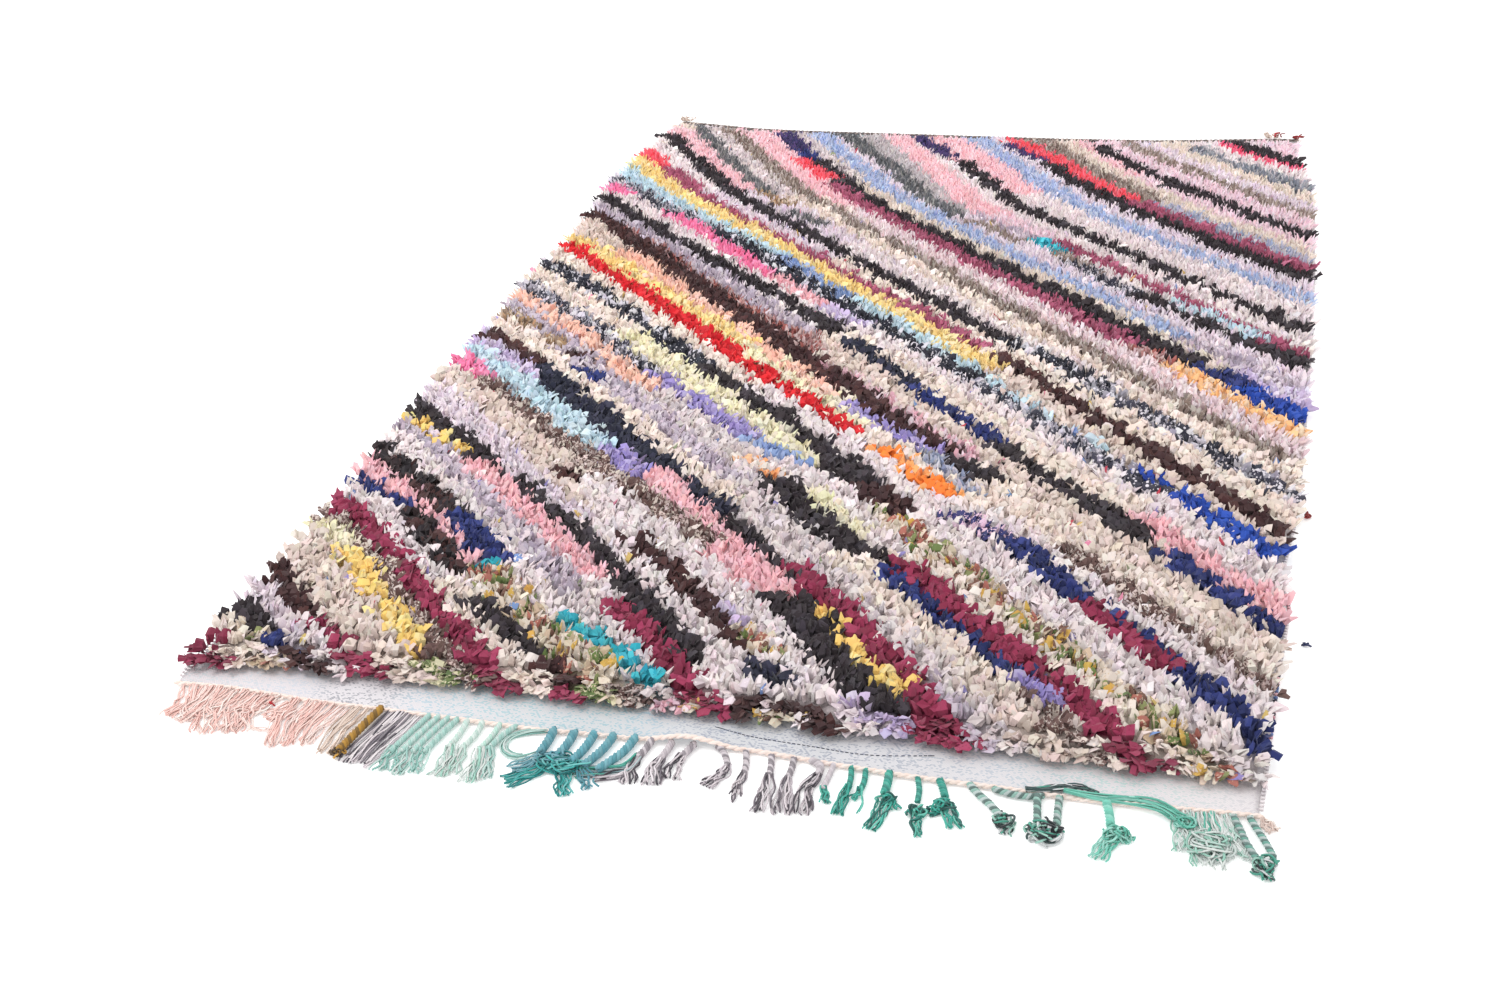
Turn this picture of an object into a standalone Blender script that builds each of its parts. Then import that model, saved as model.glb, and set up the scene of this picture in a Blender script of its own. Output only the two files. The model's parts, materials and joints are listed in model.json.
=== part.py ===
"""A knotted rag rug lying flat on a floor.

The rug is a woven ground cloth with a flatwoven band at each end. A deep pile of rag knots
stands on it, a fringe of tassels is twined into a cord along the near end, and a twined cord
with corner tufts finishes the far end. Lengths are in metres and +Z is up. The near end is
at -Y, and the origin is the middle of the cloth's underside.
"""
import math
import random
from collections import namedtuple

import bmesh
import bpy
import numpy as np
from mathutils import Vector, noise

# The rug's driving sizes
RUG_WIDTH = 1.50
RUG_LENGTH = 2.37
CLOTH_THICKNESS = 0.003
GAP = 0.0003
PILE_RIM_HEIGHT = 0.0135
PILE_BODY_HEIGHT = 0.0235
LUMP_HEIGHT = 0.0085
RIDGE_HEIGHT = 0.0028

# The flatwoven bands that the pile leaves bare, measured from the cloth's ends
FAR_BAND = 0.030
NEAR_BAND = 0.052

# The cloth's grid, and the near edge's one ripple
CLOTH_COLUMNS = 64
CLOTH_ROWS = 20
NEAR_BAND_ROWS = 4
RIPPLE_X = 0.015
RIPPLE_HALF_WIDTH = 0.045
RIPPLE_HEIGHT = 0.007

# The pile's grid, its lumps, and the ridges that its diagonal stripes make
PILE_COLUMNS = 34
PILE_ROWS = 50
LUMP_SIZE = 0.085
RIDGE_PITCH = 0.125
RIDGE_SLOPE = math.radians(48)
CLOTH_INSIDE_OUTLINE = 0.015
PILE_INSIDE_OUTLINE = 0.013

# A lock is a flattened rag strip that hangs over the pile's rim
LOCK_REACH = (0.010, 0.022)
LOCK_LEAN = 0.007
LOCK_SWELL = 0.0015
LONG_LOCK_SWELL = 0.0065
LOCK_MIDDLE_SCALE = 0.92
LOCK_TIP_SCALE = 0.42
SIDE_TIP_HEIGHT = 0.0045
BAND_TIP_HEIGHT = 0.0075
LONG_TIP_HEIGHT = 0.0120

# The twined cords at both ends
CORD_WIDTH = 0.008
CORD_HEIGHT = 0.0065
CORD_DIP = 0.0012
CORD_STATION = 0.030

SidePoint = namedtuple("SidePoint", "along stands_out")
EndPoint = namedtuple("EndPoint", "across draws_in")
LongLock = namedtuple("LongLock", "side along reach")
FringeRun = namedtuple("FringeRun", "yarn first last strands reach lean_first lean_last width")
Section = namedtuple("Section", "share width height")

# How far the left and right sides stand out past a straight selvedge, from the far end on
LEFT_SIDE = (
    SidePoint(0.00, 0.000),
    SidePoint(0.09, 0.005),
    SidePoint(0.20, 0.020),
    SidePoint(0.45, 0.042),
    SidePoint(0.60, 0.022),
    SidePoint(0.80, 0.012),
    SidePoint(1.00, 0.025),
    SidePoint(1.20, 0.010),
    SidePoint(1.40, 0.020),
    SidePoint(1.70, 0.016),
    SidePoint(1.95, 0.001),
    SidePoint(2.20, 0.010),
    SidePoint(2.37, 0.012),
)
RIGHT_SIDE = (
    SidePoint(0.00, 0.000),
    SidePoint(0.13, -0.006),
    SidePoint(0.22, 0.015),
    SidePoint(0.40, 0.035),
    SidePoint(0.75, 0.040),
    SidePoint(1.10, 0.038),
    SidePoint(1.50, 0.030),
    SidePoint(1.70, 0.022),
    SidePoint(1.85, 0.006),
    SidePoint(1.93, 0.019),
    SidePoint(2.10, 0.008),
    SidePoint(2.37, -0.004),
)

# How far the far end is drawn in, from the left corner to the right one
FAR_END = (
    EndPoint(0.00, 0.004),
    EndPoint(0.10, 0.020),
    EndPoint(0.20, 0.038),
    EndPoint(0.32, 0.045),
    EndPoint(0.95, 0.048),
    EndPoint(1.18, 0.041),
    EndPoint(1.30, 0.026),
    EndPoint(1.42, 0.010),
    EndPoint(1.50, 0.006),
)

# Locks that reach well past their neighbours
LONG_LOCKS = (
    LongLock("far", 0.54, 0.060),
    LongLock("far", 0.74, 0.056),
    LongLock("right", 1.665, 0.030),
    LongLock("left", 0.42, 0.026),
)

# The near fringe, from left to right: places and leans are measured across the rug
NEAR_FRINGE = (
    FringeRun("salmon", 0.012, 0.122, 9, 0.092, 0.016, 0.012, 0.0075),
    FringeRun("short salmon", 0.137, 0.185, 4, 0.042, 0.006, 0.004, 0.0070),
    FringeRun("salmon", 0.201, 0.285, 7, 0.090, 0.004, -0.002, 0.0075),
    FringeRun("ochre", 0.300, 0.313, 2, 0.108, -0.009, -0.009, 0.0080),
    FringeRun("grey black", 0.328, 0.356, 3, 0.108, -0.005, 0.000, 0.0080),
    FringeRun("mint grey", 0.370, 0.430, 5, 0.106, 0.001, 0.002, 0.0085),
    FringeRun("pale mint", 0.455, 0.520, 6, 0.108, 0.000, 0.002, 0.0080),
    FringeRun("looped", 0.541, 0.541, 1, 0.058, 0.000, 0.000, 0.0110),
    FringeRun("teal", 0.566, 0.690, 8, 0.100, -0.004, -0.008, 0.0110),
    FringeRun("grey black", 0.716, 0.775, 4, 0.080, -0.002, 0.000, 0.0100),
    FringeRun("grey", 0.812, 0.848, 2, 0.080, 0.000, 0.000, 0.0110),
    FringeRun("grey", 0.880, 0.948, 4, 0.100, 0.000, 0.002, 0.0120),
    FringeRun("teal green", 0.984, 1.032, 3, 0.088, 0.004, 0.008, 0.0110),
    FringeRun("teal green", 1.066, 1.108, 2, 0.098, 0.013, 0.016, 0.0120),
    FringeRun("grey green twist", 1.140, 1.140, 1, 0.082, 0.040, 0.040, 0.0100),
    FringeRun("black white twist", 1.222, 1.246, 2, 0.106, 0.000, 0.003, 0.0135),
    FringeRun("green", 1.308, 1.368, 4, 0.100, 0.006, 0.004, 0.0110),
    FringeRun("pale mint", 1.388, 1.446, 6, 0.098, 0.002, 0.004, 0.0075),
    FringeRun("black green twist", 1.464, 1.486, 2, 0.118, 0.014, 0.022, 0.0095),
)

# The tufts at the far corners
FAR_TUFTS = (
    FringeRun("tan", 0.012, 0.038, 3, 0.040, 0.000, 0.004, 0.0090),
    FringeRun("tan and red", 1.418, 1.448, 3, 0.044, -0.002, 0.004, 0.0100),
    FringeRun("red", 1.478, 1.478, 1, 0.026, 0.008, 0.008, 0.0100),
)

# A strand's sections, from its root to its tip
STRAND_SECTIONS = (
    Section(0.22, 0.80, 0.85),
    Section(0.62, 1.12, 0.95),
    Section(1.00, 0.50, 0.45),
)
STRAND_REACH_SPREAD = 0.10
STRAND_LEAN_SPREAD = 0.0012

CLOTH_COLOUR = (0.62, 0.62, 0.66)
PILE_COLOUR = (0.42, 0.20, 0.26)
FRINGE_COLOUR = (0.28, 0.42, 0.40)
FAR_CORD_COLOUR = (0.38, 0.33, 0.32)

Y_FAR = RUG_LENGTH / 2
X_LEFT = -RUG_WIDTH / 2


def read_table(table, place):
    """The second column of a table at a place along its first."""
    firsts = [row[0] for row in table]
    seconds = [row[1] for row in table]
    return float(np.interp(place, firsts, seconds))


def across_rug(share, along, inside):
    """X at a share of the width from left to right, with both sides drawn in by inside."""
    left = X_LEFT - read_table(LEFT_SIDE, along) + inside
    right = -X_LEFT + read_table(RIGHT_SIDE, along) - inside
    return left + share * (right - left)


def ripple(x, along):
    """Height that the near edge's ripple lifts the cloth by."""
    band_share = (along - (RUG_LENGTH - NEAR_BAND)) / NEAR_BAND
    offset = abs(x - RIPPLE_X) / RIPPLE_HALF_WIDTH
    if band_share <= 0 or offset >= 1:
        return 0.0
    crest = 0.5 + 0.5 * math.cos(math.pi * offset)
    return RIPPLE_HEIGHT * crest * min(1.0, band_share)


def cloth_rows():
    """Each row's share of the cloth's length, with finer rows in the near band."""
    band_start = 1 - NEAR_BAND / RUG_LENGTH
    plain = [band_start * row / CLOTH_ROWS for row in range(CLOTH_ROWS)]
    band = [band_start + (1 - band_start) * row / NEAR_BAND_ROWS for row in range(NEAR_BAND_ROWS + 1)]
    return plain + band


def cloth_point(share, row_share):
    """A point of the cloth's underside, and its distance from the far end."""
    far = read_table(FAR_END, share * RUG_WIDTH) + CORD_WIDTH + GAP
    along = far + row_share * (RUG_LENGTH - far)
    return across_rug(share, along, CLOTH_INSIDE_OUTLINE), along


def grid_mesh(columns, rows):
    """A bmesh grid, and its points as a table by row and column."""
    bm = bmesh.new()
    bmesh.ops.create_grid(bm, x_segments=columns, y_segments=rows, size=1.0)
    ordered = sorted(bm.verts, key=lambda v: (-round(v.co.y, 4), round(v.co.x, 4)))
    width = columns + 1
    table = [ordered[start:start + width] for start in range(0, len(ordered), width)]
    return bm, table


def make_object(name, bm, colour, roughness):
    """Turn a bmesh into a named object with its own material."""
    bmesh.ops.triangulate(bm, faces=[f for f in bm.faces if len(f.verts) > 4])
    bmesh.ops.recalc_face_normals(bm, faces=bm.faces)
    mesh = bpy.data.meshes.new(name)
    bm.to_mesh(mesh)
    bm.free()
    material = bpy.data.materials.new(name + "_finish")
    material.use_nodes = True
    shader = material.node_tree.nodes["Principled BSDF"]
    shader.inputs["Base Color"].default_value = (*colour, 1.0)
    shader.inputs["Roughness"].default_value = roughness
    shader.inputs["Metallic"].default_value = 0.0
    mesh.materials.append(material)
    obj = bpy.data.objects.new(name, mesh)
    bpy.context.scene.collection.objects.link(obj)
    return obj


def build_ground_cloth():
    """One sheet of the whole outline, flat but for the near edge's ripple."""
    rows = cloth_rows()
    bm, table = grid_mesh(CLOTH_COLUMNS, len(rows) - 1)
    for row_share, row in zip(rows, table):
        for column, vert in enumerate(row):
            x, along = cloth_point(column / CLOTH_COLUMNS, row_share)
            vert.co = (x, Y_FAR - along, ripple(x, along))
    lifted = bmesh.ops.extrude_face_region(bm, geom=bm.faces[:])["geom"]
    tops = [item for item in lifted if isinstance(item, bmesh.types.BMVert)]
    bmesh.ops.translate(bm, verts=tops, vec=(0, 0, CLOTH_THICKNESS))
    bmesh.ops.recalc_face_normals(bm, faces=bm.faces)
    flat_enough = math.radians(0.02)
    bmesh.ops.dissolve_limit(bm, angle_limit=flat_enough, verts=bm.verts, edges=bm.edges)
    return make_object("ground_cloth", bm, CLOTH_COLOUR, 0.9)


def pile_top(x, y):
    """Height of the pile's matted body, with lumps and low diagonal ridges."""
    lump = noise.noise(Vector((x, y, 0.0)) / LUMP_SIZE)
    cross = x * math.sin(RIDGE_SLOPE) + y * math.cos(RIDGE_SLOPE)
    ridge = math.cos(2 * math.pi * cross / RIDGE_PITCH)
    return PILE_BODY_HEIGHT + LUMP_HEIGHT * lump + RIDGE_HEIGHT * ridge


def grow_lock(bm, root, reach, lean, swell, tip_height):
    """Extrude a rim face twice into a lock that swells, then narrows and droops to its tip."""
    outward = root.normal.copy()
    outward.z = 0
    outward.normalize()
    sideways = Vector((-outward.y, outward.x, 0))
    start = root.calc_center_median()
    middle = start + outward * reach * 0.5 + sideways * lean * 0.4
    middle.z = start.z + swell
    tip = start + outward * reach + sideways * lean
    tip.z = tip_height
    face = root
    for centre, scale in ((middle, LOCK_MIDDLE_SCALE), (tip, LOCK_TIP_SCALE)):
        old_centre = face.calc_center_median()
        face = bmesh.ops.extrude_discrete_faces(bm, faces=[face])["faces"][0]
        for vert in face.verts:
            vert.co = centre + (vert.co - old_centre) * scale


def nearest_long_lock(side, along, pitch):
    """The reach of the long lock that stands in this place, if there is one."""
    for lock in LONG_LOCKS:
        if lock.side == side and abs(lock.along - along) <= pitch / 2:
            return lock.reach
    return None


def build_pile():
    """The matted body as a lumpy slab, with a lock at each of its rim's cells."""
    bm, table = grid_mesh(PILE_COLUMNS, PILE_ROWS)
    for row, verts in enumerate(table):
        for column, vert in enumerate(verts):
            share = column / PILE_COLUMNS
            far = read_table(FAR_END, share * RUG_WIDTH) + CORD_WIDTH + FAR_BAND
            along = far + row / PILE_ROWS * (RUG_LENGTH - NEAR_BAND - far)
            x = across_rug(share, along, PILE_INSIDE_OUTLINE)
            y = Y_FAR - along
            on_rim = row in (0, PILE_ROWS) or column in (0, PILE_COLUMNS)
            vert.co = (x, y, PILE_RIM_HEIGHT if on_rim else pile_top(x, y))
    rim = [edge for edge in bm.edges if edge.is_boundary]
    cut = bmesh.ops.subdivide_edges(bm, edges=rim, cuts=2)["geom_inner"]
    inner = {item for item in cut if isinstance(item, bmesh.types.BMVert)}
    rim = [edge for edge in bm.edges if edge.is_boundary]
    lock_edges = [edge for edge in rim if all(vert in inner for vert in edge.verts)]
    skirt = bmesh.ops.extrude_edge_only(bm, edges=rim)["geom"]
    for vert in [item for item in skirt if isinstance(item, bmesh.types.BMVert)]:
        vert.co.z = CLOTH_THICKNESS + GAP
    open_edges = [edge for edge in bm.edges if edge.is_boundary]
    bmesh.ops.contextual_create(bm, geom=open_edges)
    bmesh.ops.recalc_face_normals(bm, faces=bm.faces)
    roots = [max(edge.link_faces, key=lambda face: math.hypot(*face.normal.xy)) for edge in lock_edges]
    draw = random.Random(7)
    for root in roots:
        centre = root.calc_center_median()
        at_end = abs(root.normal.y) > abs(root.normal.x)
        side = "far" if root.normal.y > 0 else "near"
        along = centre.x - X_LEFT
        if not at_end:
            side = "right" if root.normal.x > 0 else "left"
            along = Y_FAR - centre.y
        reach = draw.uniform(*LOCK_REACH)
        lean = draw.uniform(-LOCK_LEAN, LOCK_LEAN)
        pitch = RUG_WIDTH / PILE_COLUMNS if at_end else RUG_LENGTH / PILE_ROWS
        swell = LOCK_SWELL
        tip_height = BAND_TIP_HEIGHT if at_end else SIDE_TIP_HEIGHT
        long_reach = nearest_long_lock(side, along, pitch)
        if long_reach:
            reach = long_reach
        if long_reach and at_end:
            swell = LONG_LOCK_SWELL
            tip_height = LONG_TIP_HEIGHT
        grow_lock(bm, root, reach, lean, swell, tip_height)
    return make_object("pile", bm, PILE_COLOUR, 1.0)


def strand_roots(runs, draw):
    """Every strand of a fringe as root place, width, reach and lean, in order."""
    roots = []
    for run in runs:
        for number in range(run.strands):
            share = number / max(1, run.strands - 1)
            place = X_LEFT + run.first + share * (run.last - run.first)
            lean = run.lean_first + share * (run.lean_last - run.lean_first)
            lean += draw.uniform(-STRAND_LEAN_SPREAD, STRAND_LEAN_SPREAD)
            reach = run.reach * (1 + draw.uniform(-STRAND_REACH_SPREAD, STRAND_REACH_SPREAD))
            roots.append((place, run.width, reach, lean))
    return sorted(roots)


def cord_stations(roots, start, end, inner_line):
    """X of each section of the cord: both sides of each root, and even steps between."""
    places = {start, end}
    for place, width, _reach, _lean in roots:
        places.update((place - width / 2, place + width / 2))
    for x, _y in inner_line:
        clear = all(abs(x - place) > width for place, width, _reach, _lean in roots)
        if start + CORD_WIDTH < x < end - CORD_WIDTH and clear:
            places.add(x)
    return sorted(places)


def build_corded_edge(name, roots, start, end, inner_line, outward, colour):
    """A twined cord along an end, with its strands drawn out of its outer faces."""
    stations = cord_stations(roots, start, end, inner_line)
    line_x = [point[0] for point in inner_line]
    line_y = [point[1] for point in inner_line]
    root_sides = {place - width / 2 for place, width, _reach, _lean in roots}

    def section(x, number):
        inner = float(np.interp(x, line_x, line_y)) + outward * GAP
        low = ripple(x, RUG_LENGTH) if outward < 0 else 0.0
        high = low + CORD_HEIGHT - CORD_DIP * (number % 2)
        outer = inner + outward * CORD_WIDTH
        corners = ((inner, low), (outer, low), (outer, high), (inner, high))
        return [Vector((x, y, z)) for y, z in corners]

    bm = bmesh.new()
    end_face = bm.faces.new([bm.verts.new(point) for point in section(stations[0], 0)])
    root_faces = []
    for number, x in enumerate(stations[1:], start=1):
        before = list(end_face.verts)
        end_face = bmesh.ops.extrude_discrete_faces(bm, faces=[end_face])["faces"][0]
        after = list(end_face.verts)
        for vert, point in zip(after, section(x, number)):
            vert.co = point
        if stations[number - 1] in root_sides:
            root_faces.append(bm.faces.get((before[1], before[2], after[2], after[1])))
    bmesh.ops.contextual_create(bm, geom=[edge for edge in bm.edges if edge.is_boundary])

    for root, (place, width, reach, lean) in zip(root_faces, roots):
        root_y = root.calc_center_median().y
        face = root
        for part in STRAND_SECTIONS:
            face = bmesh.ops.extrude_discrete_faces(bm, faces=[face])["faces"][0]
            middle = face.calc_center_median()
            centre_x = place + lean * part.share
            centre_y = root_y + outward * reach * part.share
            half_width = width * part.width / 2
            for vert in face.verts:
                side = 1 if vert.co.x > middle.x else -1
                height = CORD_HEIGHT * part.height if vert.co.z > middle.z else 0.0
                vert.co = (centre_x + side * half_width, centre_y, height)
    return make_object(name, bm, colour, 0.95)


def build_near_fringe():
    """The near end's cord with its tassels and loose strands."""
    roots = strand_roots(NEAR_FRINGE, random.Random(11))
    start = across_rug(0.0, RUG_LENGTH, CLOTH_INSIDE_OUTLINE)
    end = across_rug(1.0, RUG_LENGTH, 0.0)
    steps = math.ceil((end - start) / CORD_STATION)
    inner_line = [(start + (end - start) * step / steps, Y_FAR - RUG_LENGTH) for step in range(steps + 1)]
    inner_line += [(RIPPLE_X + offset * RIPPLE_HALF_WIDTH, Y_FAR - RUG_LENGTH) for offset in (-0.5, 0, 0.5)]
    inner_line.sort()
    return build_corded_edge("near_fringe", roots, start, end, inner_line, -1, FRINGE_COLOUR)


def build_far_cord():
    """The far end's cord on the cloth's drawn-in edge, with its corner tufts."""
    inner_line = []
    for column in range(CLOTH_COLUMNS + 1):
        x, along = cloth_point(column / CLOTH_COLUMNS, 0.0)
        inner_line.append((x, Y_FAR - along))
    start = inner_line[0][0]
    end = inner_line[-1][0]
    roots = strand_roots(FAR_TUFTS, random.Random(13))
    roots = [root for root in roots if start < root[0] - root[1] / 2 and root[0] + root[1] / 2 < end]
    return build_corded_edge("far_cord", roots, start, end, inner_line, 1, FAR_CORD_COLOUR)


def main():
    for obj in list(bpy.data.objects):
        bpy.data.objects.remove(obj, do_unlink=True)
    build_ground_cloth()
    build_pile()
    build_near_fringe()
    build_far_cord()


main()
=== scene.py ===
# %% [markdown]
# # A knotted rag rug
#
# This rug is made on a loom from torn cotton rags. A weaver lays rows of plain weave, and
# between them ties short strips of rag round the warps, so that their ends stand up as a
# deep shaggy pile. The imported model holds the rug's solids: the ground cloth, the pile, the
# near fringe and the far cord. This script dresses them, and moves none of them.

# %% Load the frame
import json
import math
from collections import namedtuple

import bmesh
import bpy
import numpy as np
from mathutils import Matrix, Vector, noise

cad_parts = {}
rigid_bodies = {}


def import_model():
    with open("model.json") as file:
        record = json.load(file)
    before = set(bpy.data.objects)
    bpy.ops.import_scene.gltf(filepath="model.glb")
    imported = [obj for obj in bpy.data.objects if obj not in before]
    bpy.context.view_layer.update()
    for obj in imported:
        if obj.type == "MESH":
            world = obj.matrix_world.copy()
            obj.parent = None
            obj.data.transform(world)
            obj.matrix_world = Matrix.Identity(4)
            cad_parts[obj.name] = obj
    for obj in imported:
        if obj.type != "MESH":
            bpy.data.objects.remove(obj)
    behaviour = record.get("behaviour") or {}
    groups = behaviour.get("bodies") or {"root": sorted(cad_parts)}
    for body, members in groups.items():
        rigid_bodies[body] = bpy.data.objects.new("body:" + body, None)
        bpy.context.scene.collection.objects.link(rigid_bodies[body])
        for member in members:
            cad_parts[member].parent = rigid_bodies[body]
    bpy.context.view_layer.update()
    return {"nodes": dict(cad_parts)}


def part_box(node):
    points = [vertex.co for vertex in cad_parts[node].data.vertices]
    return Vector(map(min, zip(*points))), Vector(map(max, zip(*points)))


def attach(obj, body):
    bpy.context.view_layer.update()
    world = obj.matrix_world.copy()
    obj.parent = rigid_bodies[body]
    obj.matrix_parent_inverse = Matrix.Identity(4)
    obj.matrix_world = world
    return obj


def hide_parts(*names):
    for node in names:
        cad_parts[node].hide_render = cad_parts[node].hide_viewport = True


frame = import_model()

print("the solids:", sorted(frame["nodes"]))

# %% [markdown]
# ## The rug's sizes and outline
#
# A hand-woven rug is never square. Its sides swell and draw in with the weaver's beat, and
# the far end is pulled into a hollow by its cord. Short tables hold how far each side
# stands out, and every other place on the rug is worked out from them.

# %% Sizes in metres
RUG_WIDTH = 1.50
RUG_LENGTH = 2.37
CM = 0.01
CLOTH_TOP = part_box("ground_cloth")[0][2] + 0.003
PILE_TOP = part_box("pile")[1][2]
FAR_BAND = 0.030
NEAR_BAND = 0.052
CORD_WIDTH = 0.008
EDGE_Y = -RUG_LENGTH / 2
CLOTH_INSET = 0.012
CORD_INSET = 0.010
print(f"rug {RUG_WIDTH} x {RUG_LENGTH} m, pile to {PILE_TOP * 1000:.0f} mm")

# %% The outline's tables
# Along: distance from the far end. Out: how far the side stands past a straight selvedge.
LEFT_ALONG = (0.00, 0.09, 0.20, 0.45, 0.60, 0.80, 1.00, 1.20, 1.40, 1.70, 1.95, 2.20, 2.37)
LEFT_OUT = (0.000, 0.005, 0.020, 0.042, 0.022, 0.012, 0.025, 0.010, 0.020, 0.016, 0.001, 0.010, 0.012)
RIGHT_ALONG = (0.00, 0.13, 0.22, 0.40, 0.75, 1.10, 1.50, 1.70, 1.85, 1.93, 2.10, 2.37)
RIGHT_OUT = (0.000, -0.006, 0.015, 0.035, 0.040, 0.038, 0.030, 0.022, 0.006, 0.019, 0.008, -0.004)
# Across: distance from the left corner. In: how far the far end is drawn in there.
FAR_ACROSS = (0.00, 0.10, 0.20, 0.32, 0.95, 1.18, 1.30, 1.42, 1.50)
FAR_IN = (0.004, 0.020, 0.038, 0.045, 0.048, 0.041, 0.026, 0.010, 0.006)
# Out: how far the near edge stands past a straight line there.
NEAR_ACROSS = (0.00, 0.09, 0.20, 0.56, 0.65, 0.76, 0.85, 0.93, 1.05, 1.31, 1.44, 1.50)
NEAR_OUT = (0.008, 0.003, 0.009, 0.010, 0.005, 0.001, -0.002, 0.003, 0.010, 0.011, 0.004, 0.002)
# Band: how much flat cloth the pile leaves bare along the near edge.
BAND_ACROSS = (0.00, 0.06, 0.14, 0.30, 0.80, 0.95, 1.50)
BAND_BARE = (0.020, 0.034, 0.044, 0.048, 0.055, 0.050, 0.050)


def across_rug(share, along, inside):
    """X at a share of the width, with both sides drawn in by inside."""
    left = -RUG_WIDTH / 2 - np.interp(along, LEFT_ALONG, LEFT_OUT) + inside
    right = RUG_WIDTH / 2 + np.interp(along, RIGHT_ALONG, RIGHT_OUT) - inside
    return left + share * (right - left)


def far_end(share):
    """Distance from the nominal far end at which the rug starts."""
    return np.interp(np.asarray(share) * RUG_WIDTH, FAR_ACROSS, FAR_IN)


def near_out(x):
    """How far the near edge stands out past a straight line, at an x."""
    return np.interp(np.asarray(x) + RUG_WIDTH / 2, NEAR_ACROSS, NEAR_OUT)


def pile_end(share):
    """Distance from the nominal far end at which the pile's knots end."""
    return RUG_LENGTH - np.interp(np.asarray(share) * RUG_WIDTH, BAND_ACROSS, BAND_BARE)


# %% [markdown]
# ## Camera, light and floor
#
# The camera stands to the right of the near end and looks along the rug from about thirty
# degrees above it. The light is a bright white room with one large soft panel, so that the
# pile keeps its colours and casts only faint shadows.

# %% Put things in the scene
def add_object(name, data):
    """A new object around a mesh, a light or a camera."""
    obj = bpy.data.objects.new(name, data)
    bpy.context.scene.collection.objects.link(obj)
    return obj


def mesh_object(name, bm):
    """An object from a finished bmesh, which is freed."""
    mesh = bpy.data.meshes.new(name)
    bm.to_mesh(mesh)
    bm.free()
    return add_object(name, mesh)


# %% Camera
camera_data = bpy.data.cameras.new("camera")
camera_data.sensor_width = 36.0
camera_data.lens = 42.77
camera = add_object("camera", camera_data)
camera.location = (0.6824, -2.9146, 1.4679)
camera.rotation_euler = tuple(math.radians(a) for a in (59.156, 3.824, 15.667))
bpy.context.scene.camera = camera

# %% Light and floor
FLOOR_SIZE = 14.0
FLOOR_LEVEL = -0.0006
ROOM_STRENGTH = 1.25
PANEL_SIZE = 1.6
PANEL_ENERGY = 36.0
world = bpy.data.worlds.new("room")
world.use_nodes = True
background = world.node_tree.nodes["Background"]
background.inputs["Color"].default_value = (1.0, 1.0, 1.0, 1.0)
background.inputs["Strength"].default_value = ROOM_STRENGTH
bpy.context.scene.world = world
bpy.context.scene.view_settings.view_transform = "Standard"

panel_data = bpy.data.lights.new("panel", "AREA")
panel_data.shape = "DISK"
panel_data.size = PANEL_SIZE
panel_data.energy = PANEL_ENERGY
panel = add_object("panel", panel_data)
panel.location = (-1.5, -1.5, 2.9)
panel.rotation_euler = (Vector((0, 0, 0)) - panel.location).to_track_quat("-Z", "Y").to_euler()

bm = bmesh.new()
bmesh.ops.create_grid(bm, x_segments=1, y_segments=1, size=FLOOR_SIZE / 2)
bmesh.ops.translate(bm, verts=bm.verts, vec=(0, 0, FLOOR_LEVEL))
floor = mesh_object("floor", bm)

# %% [markdown]
# ## Colours
#
# Rags come from worn clothes, so each stripe has its own cotton. A colour below is what the
# eye reads, as red, green and blue out of 255. A rag may bring a second colour: either other
# flaps among the first ones, as in a tweed, or specks printed on the cloth itself.


# %% Turn an eye colour into a shader colour
DARKEST, PALEST = 0.004, 0.92


def shade(red, green, blue):
    """An eye colour out of 255 as linear red, green and blue."""
    channels = np.array((red, green, blue)) / 255.0
    low = channels / 12.92
    high = ((channels + 0.055) / 1.055) ** 2.4
    return np.where(channels <= 0.04045, low, high)


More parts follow.
